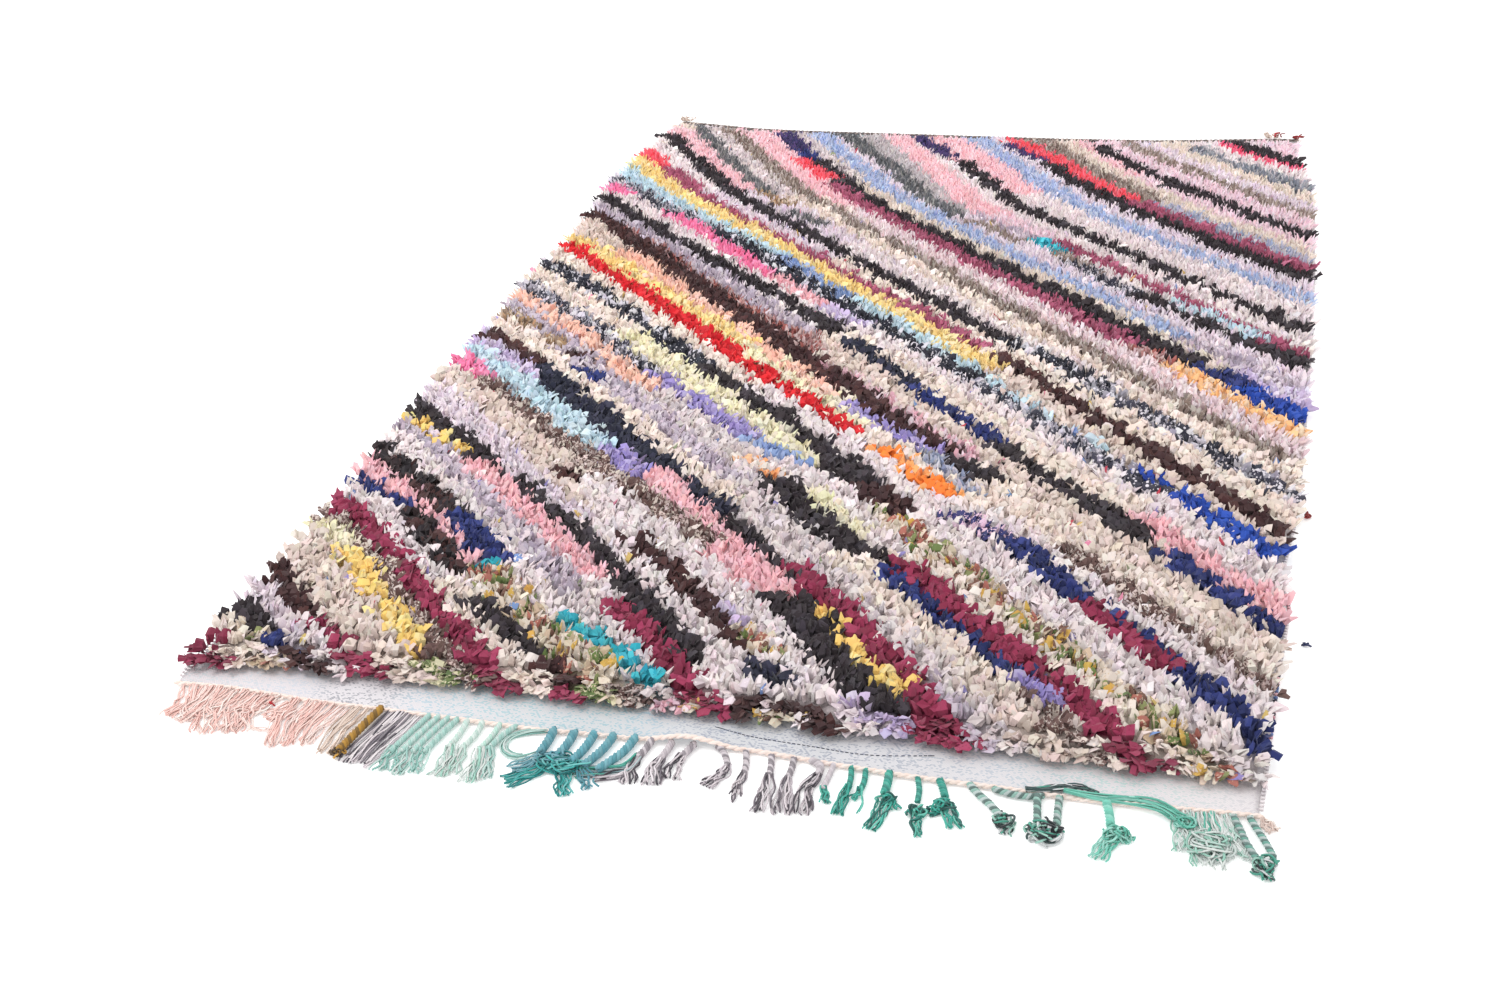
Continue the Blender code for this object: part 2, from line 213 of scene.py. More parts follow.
# %% The rags
# Each cloth below is one joined piece of flaps, and a rag in it has up to three things.
# Colours: what a flap may take, each as likely as the next, and the specks take the last.
# Fine: 0 for broad petals of cloth, 1 for narrow strips like yarn, and between them a
# mixture. Print share, where the cloth is printed: how much of a flap its specks cover.
Rag = namedtuple("Rag", "piece colours fine print_share", defaults=(0.0,))
GARDEN = (
    (226, 212, 196), (229, 217, 205), (218, 203, 186), (223, 210, 200), (210, 194, 176),
    (220, 206, 190), (104, 122, 70), (138, 146, 96), (208, 168, 84), (126, 92, 80),
    (168, 104, 92), (196, 174, 150),
)
CLOTHS = {
    "rags_black": {
        "black": (((46, 38, 42), (50, 42, 46), (62, 55, 62)), 0.45),
        "navy_black": (((36, 38, 54), (40, 42, 60), (54, 54, 74)), 0.40),
        "black_brown": (((50, 38, 40), (74, 48, 48), (42, 36, 40)), 0.35),
    },
    "rags_dotted": {
        "dotted": (
            ((44, 44, 54), (48, 50, 62), (40, 40, 50), (46, 46, 58), (210, 206, 214)), 0.50, 0.13,
        ),
        "speckled": (
            ((52, 52, 64), (64, 62, 76), (56, 56, 70), (150, 146, 158), (212, 206, 214)), 0.60, 0.21,
        ),
    },
    "rags_navy": {
        "navy": (((40, 50, 108), (54, 64, 126), (36, 44, 92)), 0.60),
        "navy_print": (((52, 54, 104), (60, 60, 112), (224, 190, 210)), 0.60, 0.15),
        "royal": (((38, 72, 166), (30, 60, 146), (44, 82, 178)), 0.60),
        "purple": (((84, 66, 118), (58, 56, 96), (74, 60, 108)), 1.0),
    },
    "rags_blue": {
        "blue": (((126, 150, 198), (160, 177, 212), (142, 161, 204)), 0.80),
        "light_blue": (((160, 176, 212), (194, 199, 218), (176, 187, 215)), 1.0),
        "blue_heather": (((148, 158, 186), (204, 198, 204), (178, 178, 196)), 1.0),
        "pale_blue": (((186, 210, 222), (202, 218, 226), (196, 214, 224)), 0.80),
    },
    "rags_turquoise": {
        "turquoise": (((46, 166, 184), (74, 184, 198), (40, 154, 174)), 0.30),
    },
    "rags_burgundy": {
        "burgundy": (((142, 46, 76), (156, 56, 88), (126, 40, 66)), 0.12),
        "faded": (((176, 96, 122), (154, 78, 104), (168, 88, 114)), 0.60),
    },
    "rags_brown": {
        "brown": (((78, 47, 46), (60, 35, 37), (68, 43, 44)), 0.25),
    },
    "rags_heather": {
        "brown_heather": (((128, 110, 102), (186, 174, 168), (156, 140, 132)), 1.0),
        "charcoal": (((92, 94, 98), (146, 142, 142), (112, 112, 116)), 1.0),
        "taupe": (((140, 122, 114), (184, 170, 164), (158, 140, 132)), 1.0),
        "grey_blue": (((120, 124, 136), (180, 176, 182), (142, 146, 156)), 1.0),
        "ochre_heather": (((174, 140, 108), (200, 180, 160), (150, 128, 110)), 1.0),
        "rust_heather": (((160, 92, 86), (200, 174, 172), (180, 134, 132)), 1.0),
    },
    "rags_red": {
        "red": (((212, 30, 42), (194, 22, 34), (220, 40, 48)), 0.40),
        "coral": (((240, 96, 112), (236, 116, 132), (236, 78, 92)), 1.0),
        "raspberry": (((236, 104, 138), (232, 128, 156), (236, 90, 122)), 1.0),
        "hot_pink": (((240, 130, 174), (240, 152, 188), (234, 120, 162)), 0.70),
    },
    "rags_yellow": {
        "orange": (((244, 136, 56), (240, 166, 104), (240, 124, 50)), 0.50),
        "orange_print": (((238, 162, 106), (224, 214, 206), (232, 180, 144)), 0.60),
        "butter": (((240, 206, 124), (234, 214, 150), (240, 200, 114)), 0.35),
        "straw": (((238, 212, 148), (235, 216, 168), (240, 208, 136)), 0.60),
        "pale_orange": (((242, 194, 142), (236, 208, 182), (242, 184, 126)), 0.70),
        "peach": (((240, 194, 176), (238, 204, 192), (238, 188, 170)), 0.80),
    },
    "rags_cream": {
        "pale_yellow": (((230, 222, 186), (226, 216, 198), (230, 222, 194)), 0.70),
        "cream": (((229, 214, 205), (233, 220, 212), (225, 208, 197)), 0.60),
        "cream_heather": (((218, 204, 192), (229, 216, 208), (222, 208, 198)), 1.0, 0.05),
    },
    "rags_pink": {
        "pink": (((240, 187, 194), (240, 198, 205), (238, 181, 189)), 1.0),
        "blush": (((240, 197, 203), (238, 206, 212), (240, 190, 197)), 1.0),
        "pink_heather": (((218, 166, 178), (224, 206, 212), (222, 186, 196)), 1.0),
        "pale_pink": (((232, 208, 216), (226, 211, 218), (234, 202, 212)), 1.0),
        "rose_white": (((230, 212, 216), (224, 198, 202), (232, 219, 221)), 1.0),
    },
    "rags_lilac": {
        "lavender": (((144, 130, 188), (180, 166, 208), (158, 144, 198)), 0.60),
        "lilac": (((206, 188, 216), (216, 204, 222), (194, 176, 210)), 0.75),
        "lilac_white": (((226, 212, 220), (230, 217, 222), (218, 204, 216)), 1.0),
    },
    "rags_white": {
        "white": (((229, 216, 217), (222, 209, 212), (232, 221, 221)), 0.75),
    },
    "rags_grey": {
        "grey_white": (
            ((212, 200, 202), (227, 214, 215), (198, 186, 190), (217, 205, 203)), 0.75, 0.08,
        ),
        "grey_lilac": (
            ((190, 177, 190), (215, 202, 209), (201, 187, 199), (174, 161, 176)), 0.80, 0.08,
        ),
        "light_grey": (((188, 179, 182), (204, 195, 198), (194, 186, 188)), 1.0),
    },
    "rags_beige": {
        "beige": (((217, 199, 190), (225, 210, 202), (209, 190, 181)), 0.55),
    },
    "rags_print": {
        "brown_print": (
            ((214, 199, 191), (205, 188, 180), (190, 172, 166), (100, 76, 72)), 0.70, 0.36,
        ),
        "floral": (GARDEN, 0.65, 0.07),
        "green_print": (
            ((90, 112, 60), (116, 130, 78), (146, 156, 108), (204, 196, 164)), 0.35, 0.2,
        ),
    },
}
RAGS = {}
for piece, rags in CLOTHS.items():
    for name, looks in rags.items():
        RAGS[name] = Rag(piece, *looks)
# Now and then a flap in a pale rag has a colour of its own.
ACCENTS = (
    (228, 142, 170), (150, 138, 196), (120, 146, 196), (190, 62, 80), (202, 174, 108), (140, 148, 118),
)
ACCENT_SHARE = 0.006
ACCENT_RAGS = ("white", "cream", "beige", "grey_white", "grey_lilac", "lilac_white", "floral")
print(len(RAGS), "rags")

# %% [markdown]
# ## The chart of stripes
#
# The stripes run down the rug from the far left to the near right. They all follow one
# flow: a line that climbs steeply near the far end and then settles to about forty-five
# degrees. A place's label is where its flow line would meet the top of the chart, so a
# stripe keeps nearly one label from end to end. The weaver changes rags as they run out,
# so a stripe is a few runs, each from one place to another, in centimetres from the left
# selvedge and from the far end. Later rows of the chart lie over earlier ones.

# %% The flow of the stripes
FLOW_SLOPE = 1.05
FAR_BEND = 0.31
FAR_BEND_DEPTH = 45.0
BEND_FADES_FROM = 95.0
BEND_FADES_OVER = 50.0
BEND_LEFT = 0.35


def flow_label(across, along):
    """The label, in centimetres, of the flow line through a place."""
    fade = 1 - (1 - BEND_LEFT) * np.clip((across - BEND_FADES_FROM) / BEND_FADES_OVER, 0, 1)
    bend = FAR_BEND * np.maximum(0, FAR_BEND_DEPTH - along) * fade
    return across - FLOW_SLOPE * along - bend


# %% The chart
# A row: its rag, where it starts across and along, where it ends across and along, its width.
Run = namedtuple("Run", "rag across0 along0 across1 along1 width")
GROUND = (
    ("pale_pink", 141, 1, 153, 11, 4.6),
    ("white", 130, 7, 151, 23, 3.4),
    ("cream_heather", 122, 7, 153, 38, 3.6),
    ("lilac_white", 118, 9, 153, 42, 3.0),
    ("pale_pink", 109, 9, 152, 51, 4.0),
    ("blush", 100, 9, 118, 28, 3.4),
    ("pale_pink", 118, 28, 153, 63, 4.0),
    ("cream_heather", 96, 8, 150, 64, 4.6),
    ("lilac_white", 80, 9, 104, 41, 4.4),
    ("lilac_white", 104, 41, 152, 84, 4.4),
    ("blush", 68, 8, 92, 41, 5.0),
    ("white", 92, 41, 152, 95, 5.4),
    ("white", 57, 6, 82, 42, 4.4),
    ("white", 82, 42, 152, 106, 5.0),
    ("blush", 54, 3, 88, 53, 5.0),
    ("pale_pink", 88, 53, 101, 65, 4.4),
    ("light_grey", 50, 5, 80, 52, 4.4),
    ("grey_lilac", 80, 52, 96, 64, 4.4),
    ("white", 100, 70, 127, 91, 3.4),
    ("lilac_white", 42, 13, 76, 50, 4.6),
    ("lilac_white", 76, 50, 152, 120, 4.6),
    ("grey_white", 33, 6, 52, 31, 4.4),
    ("cream_heather", 58, 40, 140, 119, 4.0),
    ("lilac", 140, 119, 151, 129, 3.4),
    ("blush", 22, 6, 54, 52, 5.0),
    ("rose_white", 54, 52, 151, 148, 4.6),
    ("grey_white", 9, 8, 45, 47, 5.0),
    ("cream", 45, 47, 150, 156, 5.0),
    ("blush", 1, 6, 32, 45, 4.8),
    ("lilac_white", 32, 45, 60, 72, 4.4),
    ("white", 60, 72, 118, 128, 4.4),
    ("white", -2, 15, 25, 46, 4.4),
    ("lilac_white", 25, 46, 60, 80, 4.0),
    ("cream", 60, 80, 151, 170, 4.0),
    ("beige", 100, 126, 151, 178, 3.8),
    ("white", 2, 52, 60, 108, 3.2),
    ("white", 75, 114, 151, 186, 3.6),
    ("cream", 70, 115, 126, 167, 3.8),
    ("grey_lilac", 0, 56, 55, 109, 3.2),
    ("beige", 70, 124, 151, 202, 4.0),
    ("pink_heather", 72, 130, 100, 157, 3.0),
    ("cream", 104, 165, 151, 209, 4.4),
    ("brown_print", 118, 182, 151, 215, 3.8),
    ("white", 105, 175, 151, 218, 4.4),
    ("beige", 0, 68, 12, 78, 3.4),
    ("pale_yellow", 54, 123, 80, 148, 3.6),
    ("cream", 80, 150, 103, 172, 3.0),
    ("cream", 0, 84, 60, 137, 3.6),
    ("white", 60, 137, 100, 176, 3.6),
    ("white", 100, 180, 150, 228, 3.8),
    ("floral", 92, 180, 143, 231, 4.2),
    ("cream", 96, 189, 140, 231, 4.0),
    ("cream", 88, 192, 128, 231, 4.6),
    ("grey_white", 82, 193, 120, 231, 4.6),
    ("cream", 2, 95, 30, 119, 4.4),
    ("pale_yellow", 30, 120, 68, 158, 4.4),
    ("white", 70, 166, 92, 186, 4.0),
    ("grey_white", 41, 142, 68, 168, 3.8),
    ("grey_lilac", -1, 110, 60, 170, 4.4),
    ("grey_white", 60, 170, 82, 193, 4.4),
    ("cream", 2, 118, 64, 176, 3.4),
    ("lilac", -1, 124, 12, 136, 3.0),
    ("beige", -1, 140, 40, 180, 4.8),
    ("lilac_white", -1, 146, 50, 196, 4.4),
    ("white", 40, 176, 96, 231, 4.0),
    ("white", 44, 187, 86, 231, 4.4),
    ("white", 14, 169, 54, 205, 3.4),
    ("grey_lilac", 0, 160, 50, 208, 3.4),
    ("white", 0, 164, 48, 210, 3.2),
    ("white", 3, 184, 30, 208, 3.6),
    ("cream", 26, 206, 54, 231, 4.2),
    ("floral", 33, 203, 66, 231, 4.4),
    ("grey_white", 50, 206, 72, 231, 3.4),
    ("beige", 0, 200, 30, 231, 5.4),
    ("lilac_white", 0, 214, 15, 229, 4.0),
    ("cream", 0, 224, 8, 231, 3.8),
    ("beige", 112, 218, 125, 231, 4.4),
    ("grey_lilac", 104, 218, 116, 231, 2.6),
)
STRIPES = (
    ("raspberry", 134, 7, 151, 20, 3.4),
    ("black", 137, 6, 150, 18, 3.4),
    ("grey_blue", 126, 8, 153, 33, 3.4),
    ("taupe", 113, 8, 152, 46, 3.2),
    ("black", 104, 9, 152, 57, 3.4),
    ("brown_heather", 91, 6, 121, 42, 3.4),
    ("blue_heather", 122, 43, 151, 69, 3.4),
    ("coral", 87, 9, 114, 40, 3.4),
    ("faded", 116, 42, 152, 73, 3.0),
    ("purple", 83, 9, 93, 20, 3.0),
    ("black", 94, 21, 152, 79, 3.4),
    ("light_blue", 73, 2, 120, 60, 3.6),
    ("light_blue", 120, 60, 152, 88, 3.2),
    ("purple", 60, 4, 73, 20, 3.2),
    ("black", 74, 21, 100, 55, 3.3),
    ("black", 100, 55, 151, 101, 3.4),
    ("charcoal", 44, 4, 80, 54, 3.4),
    ("taupe", 84, 57, 95, 67, 3.0),
    ("turquoise", 97, 65, 104, 71, 3.4),
    ("faded", 103, 66, 152, 112, 2.9),
    ("taupe", 104, 72, 112, 82, 2.8),
    ("speckled", 106, 76, 119, 89, 2.8),
    ("black", 120, 89, 152, 117, 3.0),
    ("pale_blue", 127, 91, 145, 106, 2.8),
    ("light_blue", 37, 6, 60, 38, 3.4),
    ("light_blue", 60, 38, 130, 107, 3.2),
    ("grey_lilac", 130, 107, 151, 126, 3.2),
    ("purple", 29, 6, 36, 18, 3.8),
    ("navy", 36, 18, 40, 23, 3.4),
    ("black", 41, 24, 61, 50, 3.6),
    ("black", 61, 50, 135, 118, 3.6),
    ("navy", 136, 119, 142, 126, 3.0),
    ("royal", 142, 126, 151, 135, 3.0),
    ("coral", 36, 23, 47, 36, 3.4),
    ("faded", 49, 39, 121, 111, 2.9),
    ("rust_heather", 122, 112, 129, 118, 2.8),
    ("pale_orange", 130, 119, 151, 142, 2.6),
    ("brown_heather", 16, 7, 43, 44, 3.2),
    ("brown_heather", 43, 44, 150, 151, 3.0),
    ("charcoal", 6, 5, 34.5, 45, 2.9),
    ("ochre_heather", 34, 45, 41, 52, 2.8),
    ("charcoal", 42, 55, 52, 62, 2.8),
    ("black", 0, 9.6, 16, 32.4, 3.1),
    ("black", 16, 32, 99, 113, 3.4),
    ("dotted", 100, 114, 115, 126, 3.4),
    ("speckled", 117, 128, 151, 162, 3.2),
    ("cream_heather", -1, 2, 5, 6, 2.6),
    ("coral", -2, 21, 5, 31, 3.2),
    ("faded", 6, 32, 96, 117, 2.9),
    ("faded", 7, 33, 17, 44, 4.0),
    ("brown", 98, 119, 151, 174, 3.2),
    ("straw", -3, 27, 40, 69, 4.0),
    ("straw", 40, 69, 99, 124, 3.6),
    ("pale_blue", -3, 33, 47, 79, 2.9),
    ("blue", 48, 80, 64, 97, 2.9),
    ("pale_blue", 66, 98, 123, 155, 3.2),
    ("royal", 125, 156, 151, 180, 3.3),
    ("speckled", -3, 40, 30, 67, 2.8),
    ("dotted", 31, 68, 95, 129, 3.3),
    ("speckled", 96, 130, 130, 163, 3.1),
    ("hot_pink", -3, 43, 2, 49, 2.8),
    ("hot_pink", 19, 61, 47, 89, 3.0),
    ("pink", 48, 90, 60, 101, 2.4),
    ("lilac", 61, 102, 72, 110, 2.8),
    ("pink", 128, 171, 151, 194, 2.8),
    ("black", -4, 50, 69, 115, 3.4),
    ("navy_black", 70, 116, 84, 132, 3.2),
    ("navy", 85, 133, 102, 151, 3.0),
    ("black", 104, 153, 130, 179, 3.2),
    ("navy", 132, 181, 150, 199, 3.1),
    ("rust_heather", 6, 66, 65, 122, 2.4),
    ("brown", -2, 60, 8, 70, 3.4),
    ("brown", 8, 70, 95, 156, 4.0),
    ("black", 98, 158, 105, 165, 4.2),
    ("peach", 14, 81, 72, 139, 2.8),
    ("straw", 0, 76, 52, 121, 3.2),
    ("lavender", 74, 141, 92, 155, 2.8),
    ("blue_heather", 92, 156, 102, 168, 2.8),
    ("red", -1, 79, 79, 152, 3.3),
    ("orange", 84, 156, 99, 170, 3.0),
    ("navy_print", 102, 176, 109, 182, 3.4),
    ("navy", 110.2, 182, 152.2, 226, 3.6),
    ("burgundy", 122.2, 196, 135.4, 209, 2.5),
    ("dotted", 0, 89, 46, 131, 3.8),
    ("black", 47, 132, 86, 168, 3.6),
    ("brown", 86, 168, 92, 175, 3.0),
    ("navy", 93, 193, 116, 213.6, 3.0),
    ("burgundy", 94, 189, 137, 232, 3.5),
    ("lavender", 117, 215.4, 121, 219.8, 2.6),
    ("burgundy", 79, 194, 96, 211, 3.4),
    ("burgundy", 96, 211, 111, 231, 3.4),
    ("butter", 83, 203, 101, 221, 3.2),
    ("speckled", -3, 99, 37, 135, 3.2),
    ("lavender", 38, 135, 60, 155, 3.4),
    ("blue", 61, 156, 69, 161, 3.0),
    ("orange_print", 62, 162, 69, 168, 2.8),
    ("pale_yellow", 75, 170, 88, 185, 2.8),
    ("black", 69, 169, 90, 190, 3.6),
    ("peach", -1, 105, 40, 141, 3.4),
    ("ochre_heather", -1, 113, 8, 120, 3.2),
    ("ochre_heather", 11, 122, 16, 127, 2.8),
    ("brown", 18, 129, 22, 132, 3.2),
    ("navy", 24, 136, 28, 139, 3.4),
    ("brown", -1, 122, 14, 134, 3.2),
    ("navy_black", 15, 135, 66, 182, 3.5),
    ("black", 66, 182, 97, 223, 3.5),
    ("pale_blue", -1, 129, 26, 155, 3.4),
    ("pale_blue", 26, 155, 38, 164, 3.2),
    ("lavender", 38, 163, 45, 170, 3.0),
    ("pink", 50, 170, 80, 201, 3.4),
    ("hot_pink", -2, 133, 6, 141, 4.2),
    ("brown_print", 6, 141, 38, 169, 3.2),
    ("brown_print", 38, 169, 66, 189, 3.2),
    ("brown", 32, 171, 36, 175, 3.4),
    ("brown", 52, 190, 80, 217, 3.6),
    ("navy_black", 81, 218, 84, 223, 3.6),
    ("brown", 86.5, 225, 94.5, 231, 4.4),
    ("black", -2, 153, 46, 193, 3.8),
    ("black", 46, 193, 73, 221, 3.5),
    ("burgundy", 55, 208, 77, 229, 3.9),
    ("brown", 80, 225, 83.5, 230, 3.6),
    ("butter", -1, 158, 14, 168, 2.5),
    ("pink", 18, 172, 50, 201, 4.0),
    ("black_brown", -1, 169, 22, 188, 3.2),
    ("navy", 23, 189, 33, 199, 3.5),
    ("turquoise", 31.6, 200.6, 33, 202, 2.0),
    ("turquoise", 48.5, 212, 68, 225.5, 3.1),
    ("pink", -1, 175, 30, 203, 3.2),
    ("navy", -1, 180, 12, 187, 3.1),
    ("black_brown", 13, 188, 29, 205, 3.3),
    ("black", 34.5, 211, 48.6, 222.4, 3.7),
    ("burgundy", 0, 186, 28, 213, 3.5),
    ("burgundy", 28, 213, 49, 231, 3.5),
    ("brown_print", 1, 191, 42, 231, 3.4),
    ("pale_yellow", 0, 193, 8, 200, 2.8),
    ("butter", 8, 201, 30, 223, 3.4),
    ("brown", 1, 209, 11, 220, 3.2),
    ("burgundy", 12, 220, 28, 231, 3.2),
    ("black", -1, 218, 8, 225, 3.8),
    ("navy", 8, 225, 12, 227, 3.4),
    ("brown", 12, 227, 20, 231, 3.8),
    ("brown", 50, 222.4, 56.5, 227.6, 3.0),
    ("burgundy", 54.5, 228.2, 58.8, 232, 2.8),
    ("green_print", 58.6, 227.6, 64, 231.5, 3.0),
    ("brown_print", 63.5, 226.6, 69, 232, 2.8),
    ("pink_heather", 69.5, 228, 72.5, 232, 2.2),
    ("floral", 72.5, 227, 77, 232, 2.4),
    ("floral", 84.5, 228, 88.5, 232, 2.6),
    ("lilac", 96, 224.4, 100.6, 229, 2.2),
    ("lilac", 72.4, 206.8, 74, 208.8, 2.4),
    ("floral", 75.6, 211, 83, 216.4, 2.6),
    ("brown_print", 118, 219.5, 131, 232, 2.4),
    ("floral", 139.6, 226.4, 145, 232, 2.4),
    ("green_print", 35, 225.6, 40.4, 231, 2.2),
    ("brown_print", 41, 227.4, 45.6, 232, 2.6),
    ("floral", 2.2, 223.8, 7.6, 226.6, 2.4),
    ("white", 9, 220.4, 21.5, 229.4, 2.4),
    ("burgundy", 0, 226.2, 0.4, 228.2, 1.4),
    ("burgundy", 2.2, 230.2, 2.8, 234, 4.2),
    ("floral", 10.8, 230.2, 11.6, 234, 3.6),
)
CHART = [Run(*row) for row in GROUND + STRIPES]
RAG_NAMES = sorted(RAGS)
print(len(CHART), "runs in the chart")

# %% Read the chart
# A width is measured square across a stripe, and a label along the rug's width.
LABEL_PER_WIDTH = math.hypot(1, FLOW_SLOPE)
END_REACH = 0.3
END_WEIGHT = 0.8
STRIPE_HOLDS_BACK = 1.6


def read_chart(across, along):
    """For each place, in centimetres, the number of its rag in RAG_NAMES.

    A place that no run covers goes to the nearest one, and sooner to the pale ground.
    """
    label = flow_label(across, along)
    found = np.full(across.shape, -1)
    nearest = np.full(across.shape, -1)
    nearest_score = np.full(across.shape, np.inf)
    for number, run in enumerate(CHART):
        first = flow_label(np.float64(run.across0), np.float64(run.along0))
        last = flow_label(np.float64(run.across1), np.float64(run.along1))
        share = np.clip((along - run.along0) / (run.along1 - run.along0), 0, 1)
        off = np.abs(label - (first + share * (last - first))) - run.width * LABEL_PER_WIDTH / 2
        past = np.maximum(0, np.maximum(run.along0 - along, along - run.along1))
        rag = RAG_NAMES.index(run.rag)
        found = np.where((off < 0) & (past < END_REACH), rag, found)
        score = np.maximum(off, 0) + past * END_WEIGHT
        score = score + (STRIPE_HOLDS_BACK if number >= len(GROUND) else 0)
        closer = score < nearest_score
        nearest = np.where(closer, rag, nearest)
        nearest_score = np.where(closer, score, nearest_score)
    return np.where(found < 0, nearest, found)


# %% [markdown]
# ## Joined copies
#
# The pile has tens of thousands of rag flaps and the fringe thousands of threads. Each kind
# of flap is modelled once with bmesh operators and read into arrays. Then numpy turns,
# stretches and places the copies, and joins them into one mesh for each cloth. Every copy
# also gets its own square of a UV map, so that its colour can be baked.

# %% Shapes as arrays
Shape = namedtuple("Shape", "points corners starts uvs")


def read_shape(bm):
    """A finished small bmesh as arrays: points, face corners, face starts, corner UVs."""
    bm.verts.index_update()
    layer = bm.loops.layers.uv.active
    points = np.array([vert.co[:] for vert in bm.verts])
    loops = [loop for face in bm.faces for loop in face.loops]
    corners = np.array([loop.vert.index for loop in loops])
    uvs = np.array([loop[layer].uv[:] for loop in loops])
    counts = [len(face.verts) for face in bm.faces]
    starts = np.concatenate(([0], np.cumsum(counts)[:-1])).astype(int)
    bm.free()
    return Shape(points, corners, starts, uvs)


# %% Join the copies
CELL_MARGIN = 0.08


def paint(mesh, key, colours):
    """Give each point of a mesh its own colour, under a name that a material reads."""
    attribute = mesh.attributes.new(key, "FLOAT_COLOR", "POINT")
    attribute.data.foreach_set("color", colours.astype(np.float32).ravel())


def joined_object(name, parts, material, smooth):
    """One mesh object from parts, each a shape with its copies' points and colours."""
    copies = sum(len(points) for _shape, points, _colours in parts)
    cells = math.ceil(math.sqrt(copies))
    points_all, corners_all, starts_all, uvs_all = [], [], [], []
    colours_all = {}
    point_count = corner_count = copy_count = 0
    for shape, points, colours in parts:
        number = len(points)
        if number == 0:
            continue
        per_copy = len(shape.points)
        points_all.append(points.reshape(-1, 3))
        offsets = point_count + np.arange(number) * per_copy
        corners_all.append((shape.corners[None, :] + offsets[:, None]).ravel())
        corner_offsets = corner_count + np.arange(number) * len(shape.corners)
        starts_all.append((shape.starts[None, :] + corner_offsets[:, None]).ravel())
        cell = np.arange(copy_count, copy_count + number)
        corner = np.stack((cell % cells, cell // cells), axis=1)
        inner = CELL_MARGIN + shape.uvs * (1 - 2 * CELL_MARGIN)
        uvs_all.append(((inner[None] + corner[:, None]) / cells).reshape(-1, 2))
        for key, values in colours.items():
            colours_all.setdefault(key, []).append(np.repeat(values, per_copy, axis=0))
        point_count += number * per_copy
        corner_count += number * len(shape.corners)
        copy_count += number
    mesh = bpy.data.meshes.new(name)
    mesh.vertices.add(point_count)
    mesh.vertices.foreach_set("co", np.concatenate(points_all).astype(np.float32).ravel())
    mesh.loops.add(corner_count)
    mesh.loops.foreach_set("vertex_index", np.concatenate(corners_all).astype(np.int32))
    starts = np.concatenate(starts_all).astype(np.int32)
    mesh.polygons.add(len(starts))
    mesh.polygons.foreach_set("loop_start", starts)
    mesh.update(calc_edges=True)
    layer = mesh.uv_layers.new(name="OFBake")
    layer.data.foreach_set("uv", np.concatenate(uvs_all).astype(np.float32).ravel())
    for key, values in colours_all.items():
        paint(mesh, key, np.concatenate(values))
    if smooth:
        mesh.shade_smooth()
    else:
        mesh.shade_flat()
    mesh.materials.append(material)
    return add_object(name, mesh)


# %% Dress a piece
def dress(obj, slot, *nodes):
    """Fix a piece to the rug, and hide the solids that it stands for. The slot is not used."""
    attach(obj, "root")
    if nodes:
        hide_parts(*nodes)
    return obj


# %% [markdown]
# ## Cloth and yarn finishes
#
# Cotton is matte and a little fuzzy. Its colour comes with each flap or thread, from the
# mesh, and the material adds what the cloth itself has: a printed speck in the second
# colour, a fine weave in the bump, and a soft sheen at grazing angles.


# %% Node helpers
def new_material(name, roughness, sheen):
    """A plain cloth material, its tree, its shader and the place on the rug that it reads."""
    material = bpy.data.materials.new(name)
    material.use_nodes = True
    tree = material.node_tree
    shader = tree.nodes["Principled BSDF"]
    shader.inputs["Roughness"].default_value = roughness
    shader.inputs["Specular IOR Level"].default_value = 0.2
    shader.inputs["Sheen Weight"].default_value = sheen
    shader.inputs["Sheen Roughness"].default_value = 0.6
    place = add_node(tree, "ShaderNodeTexCoord").outputs["Object"]
    return material, tree, shader, place


def add_node(tree, kind, inputs=(), **settings):
    """A node with its settings, and with inputs as values or as links from other sockets."""
    node = tree.nodes.new(kind)
    for key, value in settings.items():
        setattr(node, key, value)
    for socket, value in dict(inputs).items():
        if isinstance(value, bpy.types.NodeSocket):
            tree.links.new(value, node.inputs[socket])
        else:
            node.inputs[socket].default_value = value
    return node


def read_colour(tree, key):
    """The node that reads a colour painted on the mesh."""
    return add_node(tree, "ShaderNodeAttribute", attribute_name=key)


def maths(tree, operation, *values):
    """The result of one step of arithmetic on numbers or sockets."""
    inputs = dict(enumerate(values))
    return add_node(tree, "ShaderNodeMath", inputs, operation=operation).outputs[0]


def grain(tree, place, scale, detail):
    """A noise at a place, from 0 to 1."""
    inputs = {"Vector": place, "Scale": scale, "Detail": detail}
    return add_node(tree, "ShaderNodeTexNoise", inputs).outputs["Fac"]


def mix_colours(tree, factor, first, second):
    """A mixture of two colours."""
    node = tree.nodes.new("ShaderNodeMix")
    node.data_type = "RGBA"
    tree.links.new(factor, node.inputs["Factor"])
    tree.links.new(first, node.inputs["A"])
    tree.links.new(second, node.inputs["B"])
    return node.outputs["Result"]


def add_bump(tree, shader, height, strength, distance, invert=False):
    """Raise the surface by a height, or sink it."""
    inputs = {"Height": height, "Strength": strength, "Distance": distance}
    bump = add_node(tree, "ShaderNodeBump", inputs, invert=invert)
    tree.links.new(bump.outputs["Normal"], shader.inputs["Normal"])


# %% The rags' finish
BLOTCH_SCALE = 190.0
BLOTCH_LIFT = 0.45
BLOTCH_FROM = 0.66
DOT_SCALE = 150.0
DOT_REACH = 1.5
WEAVE_SCALE = 900.0


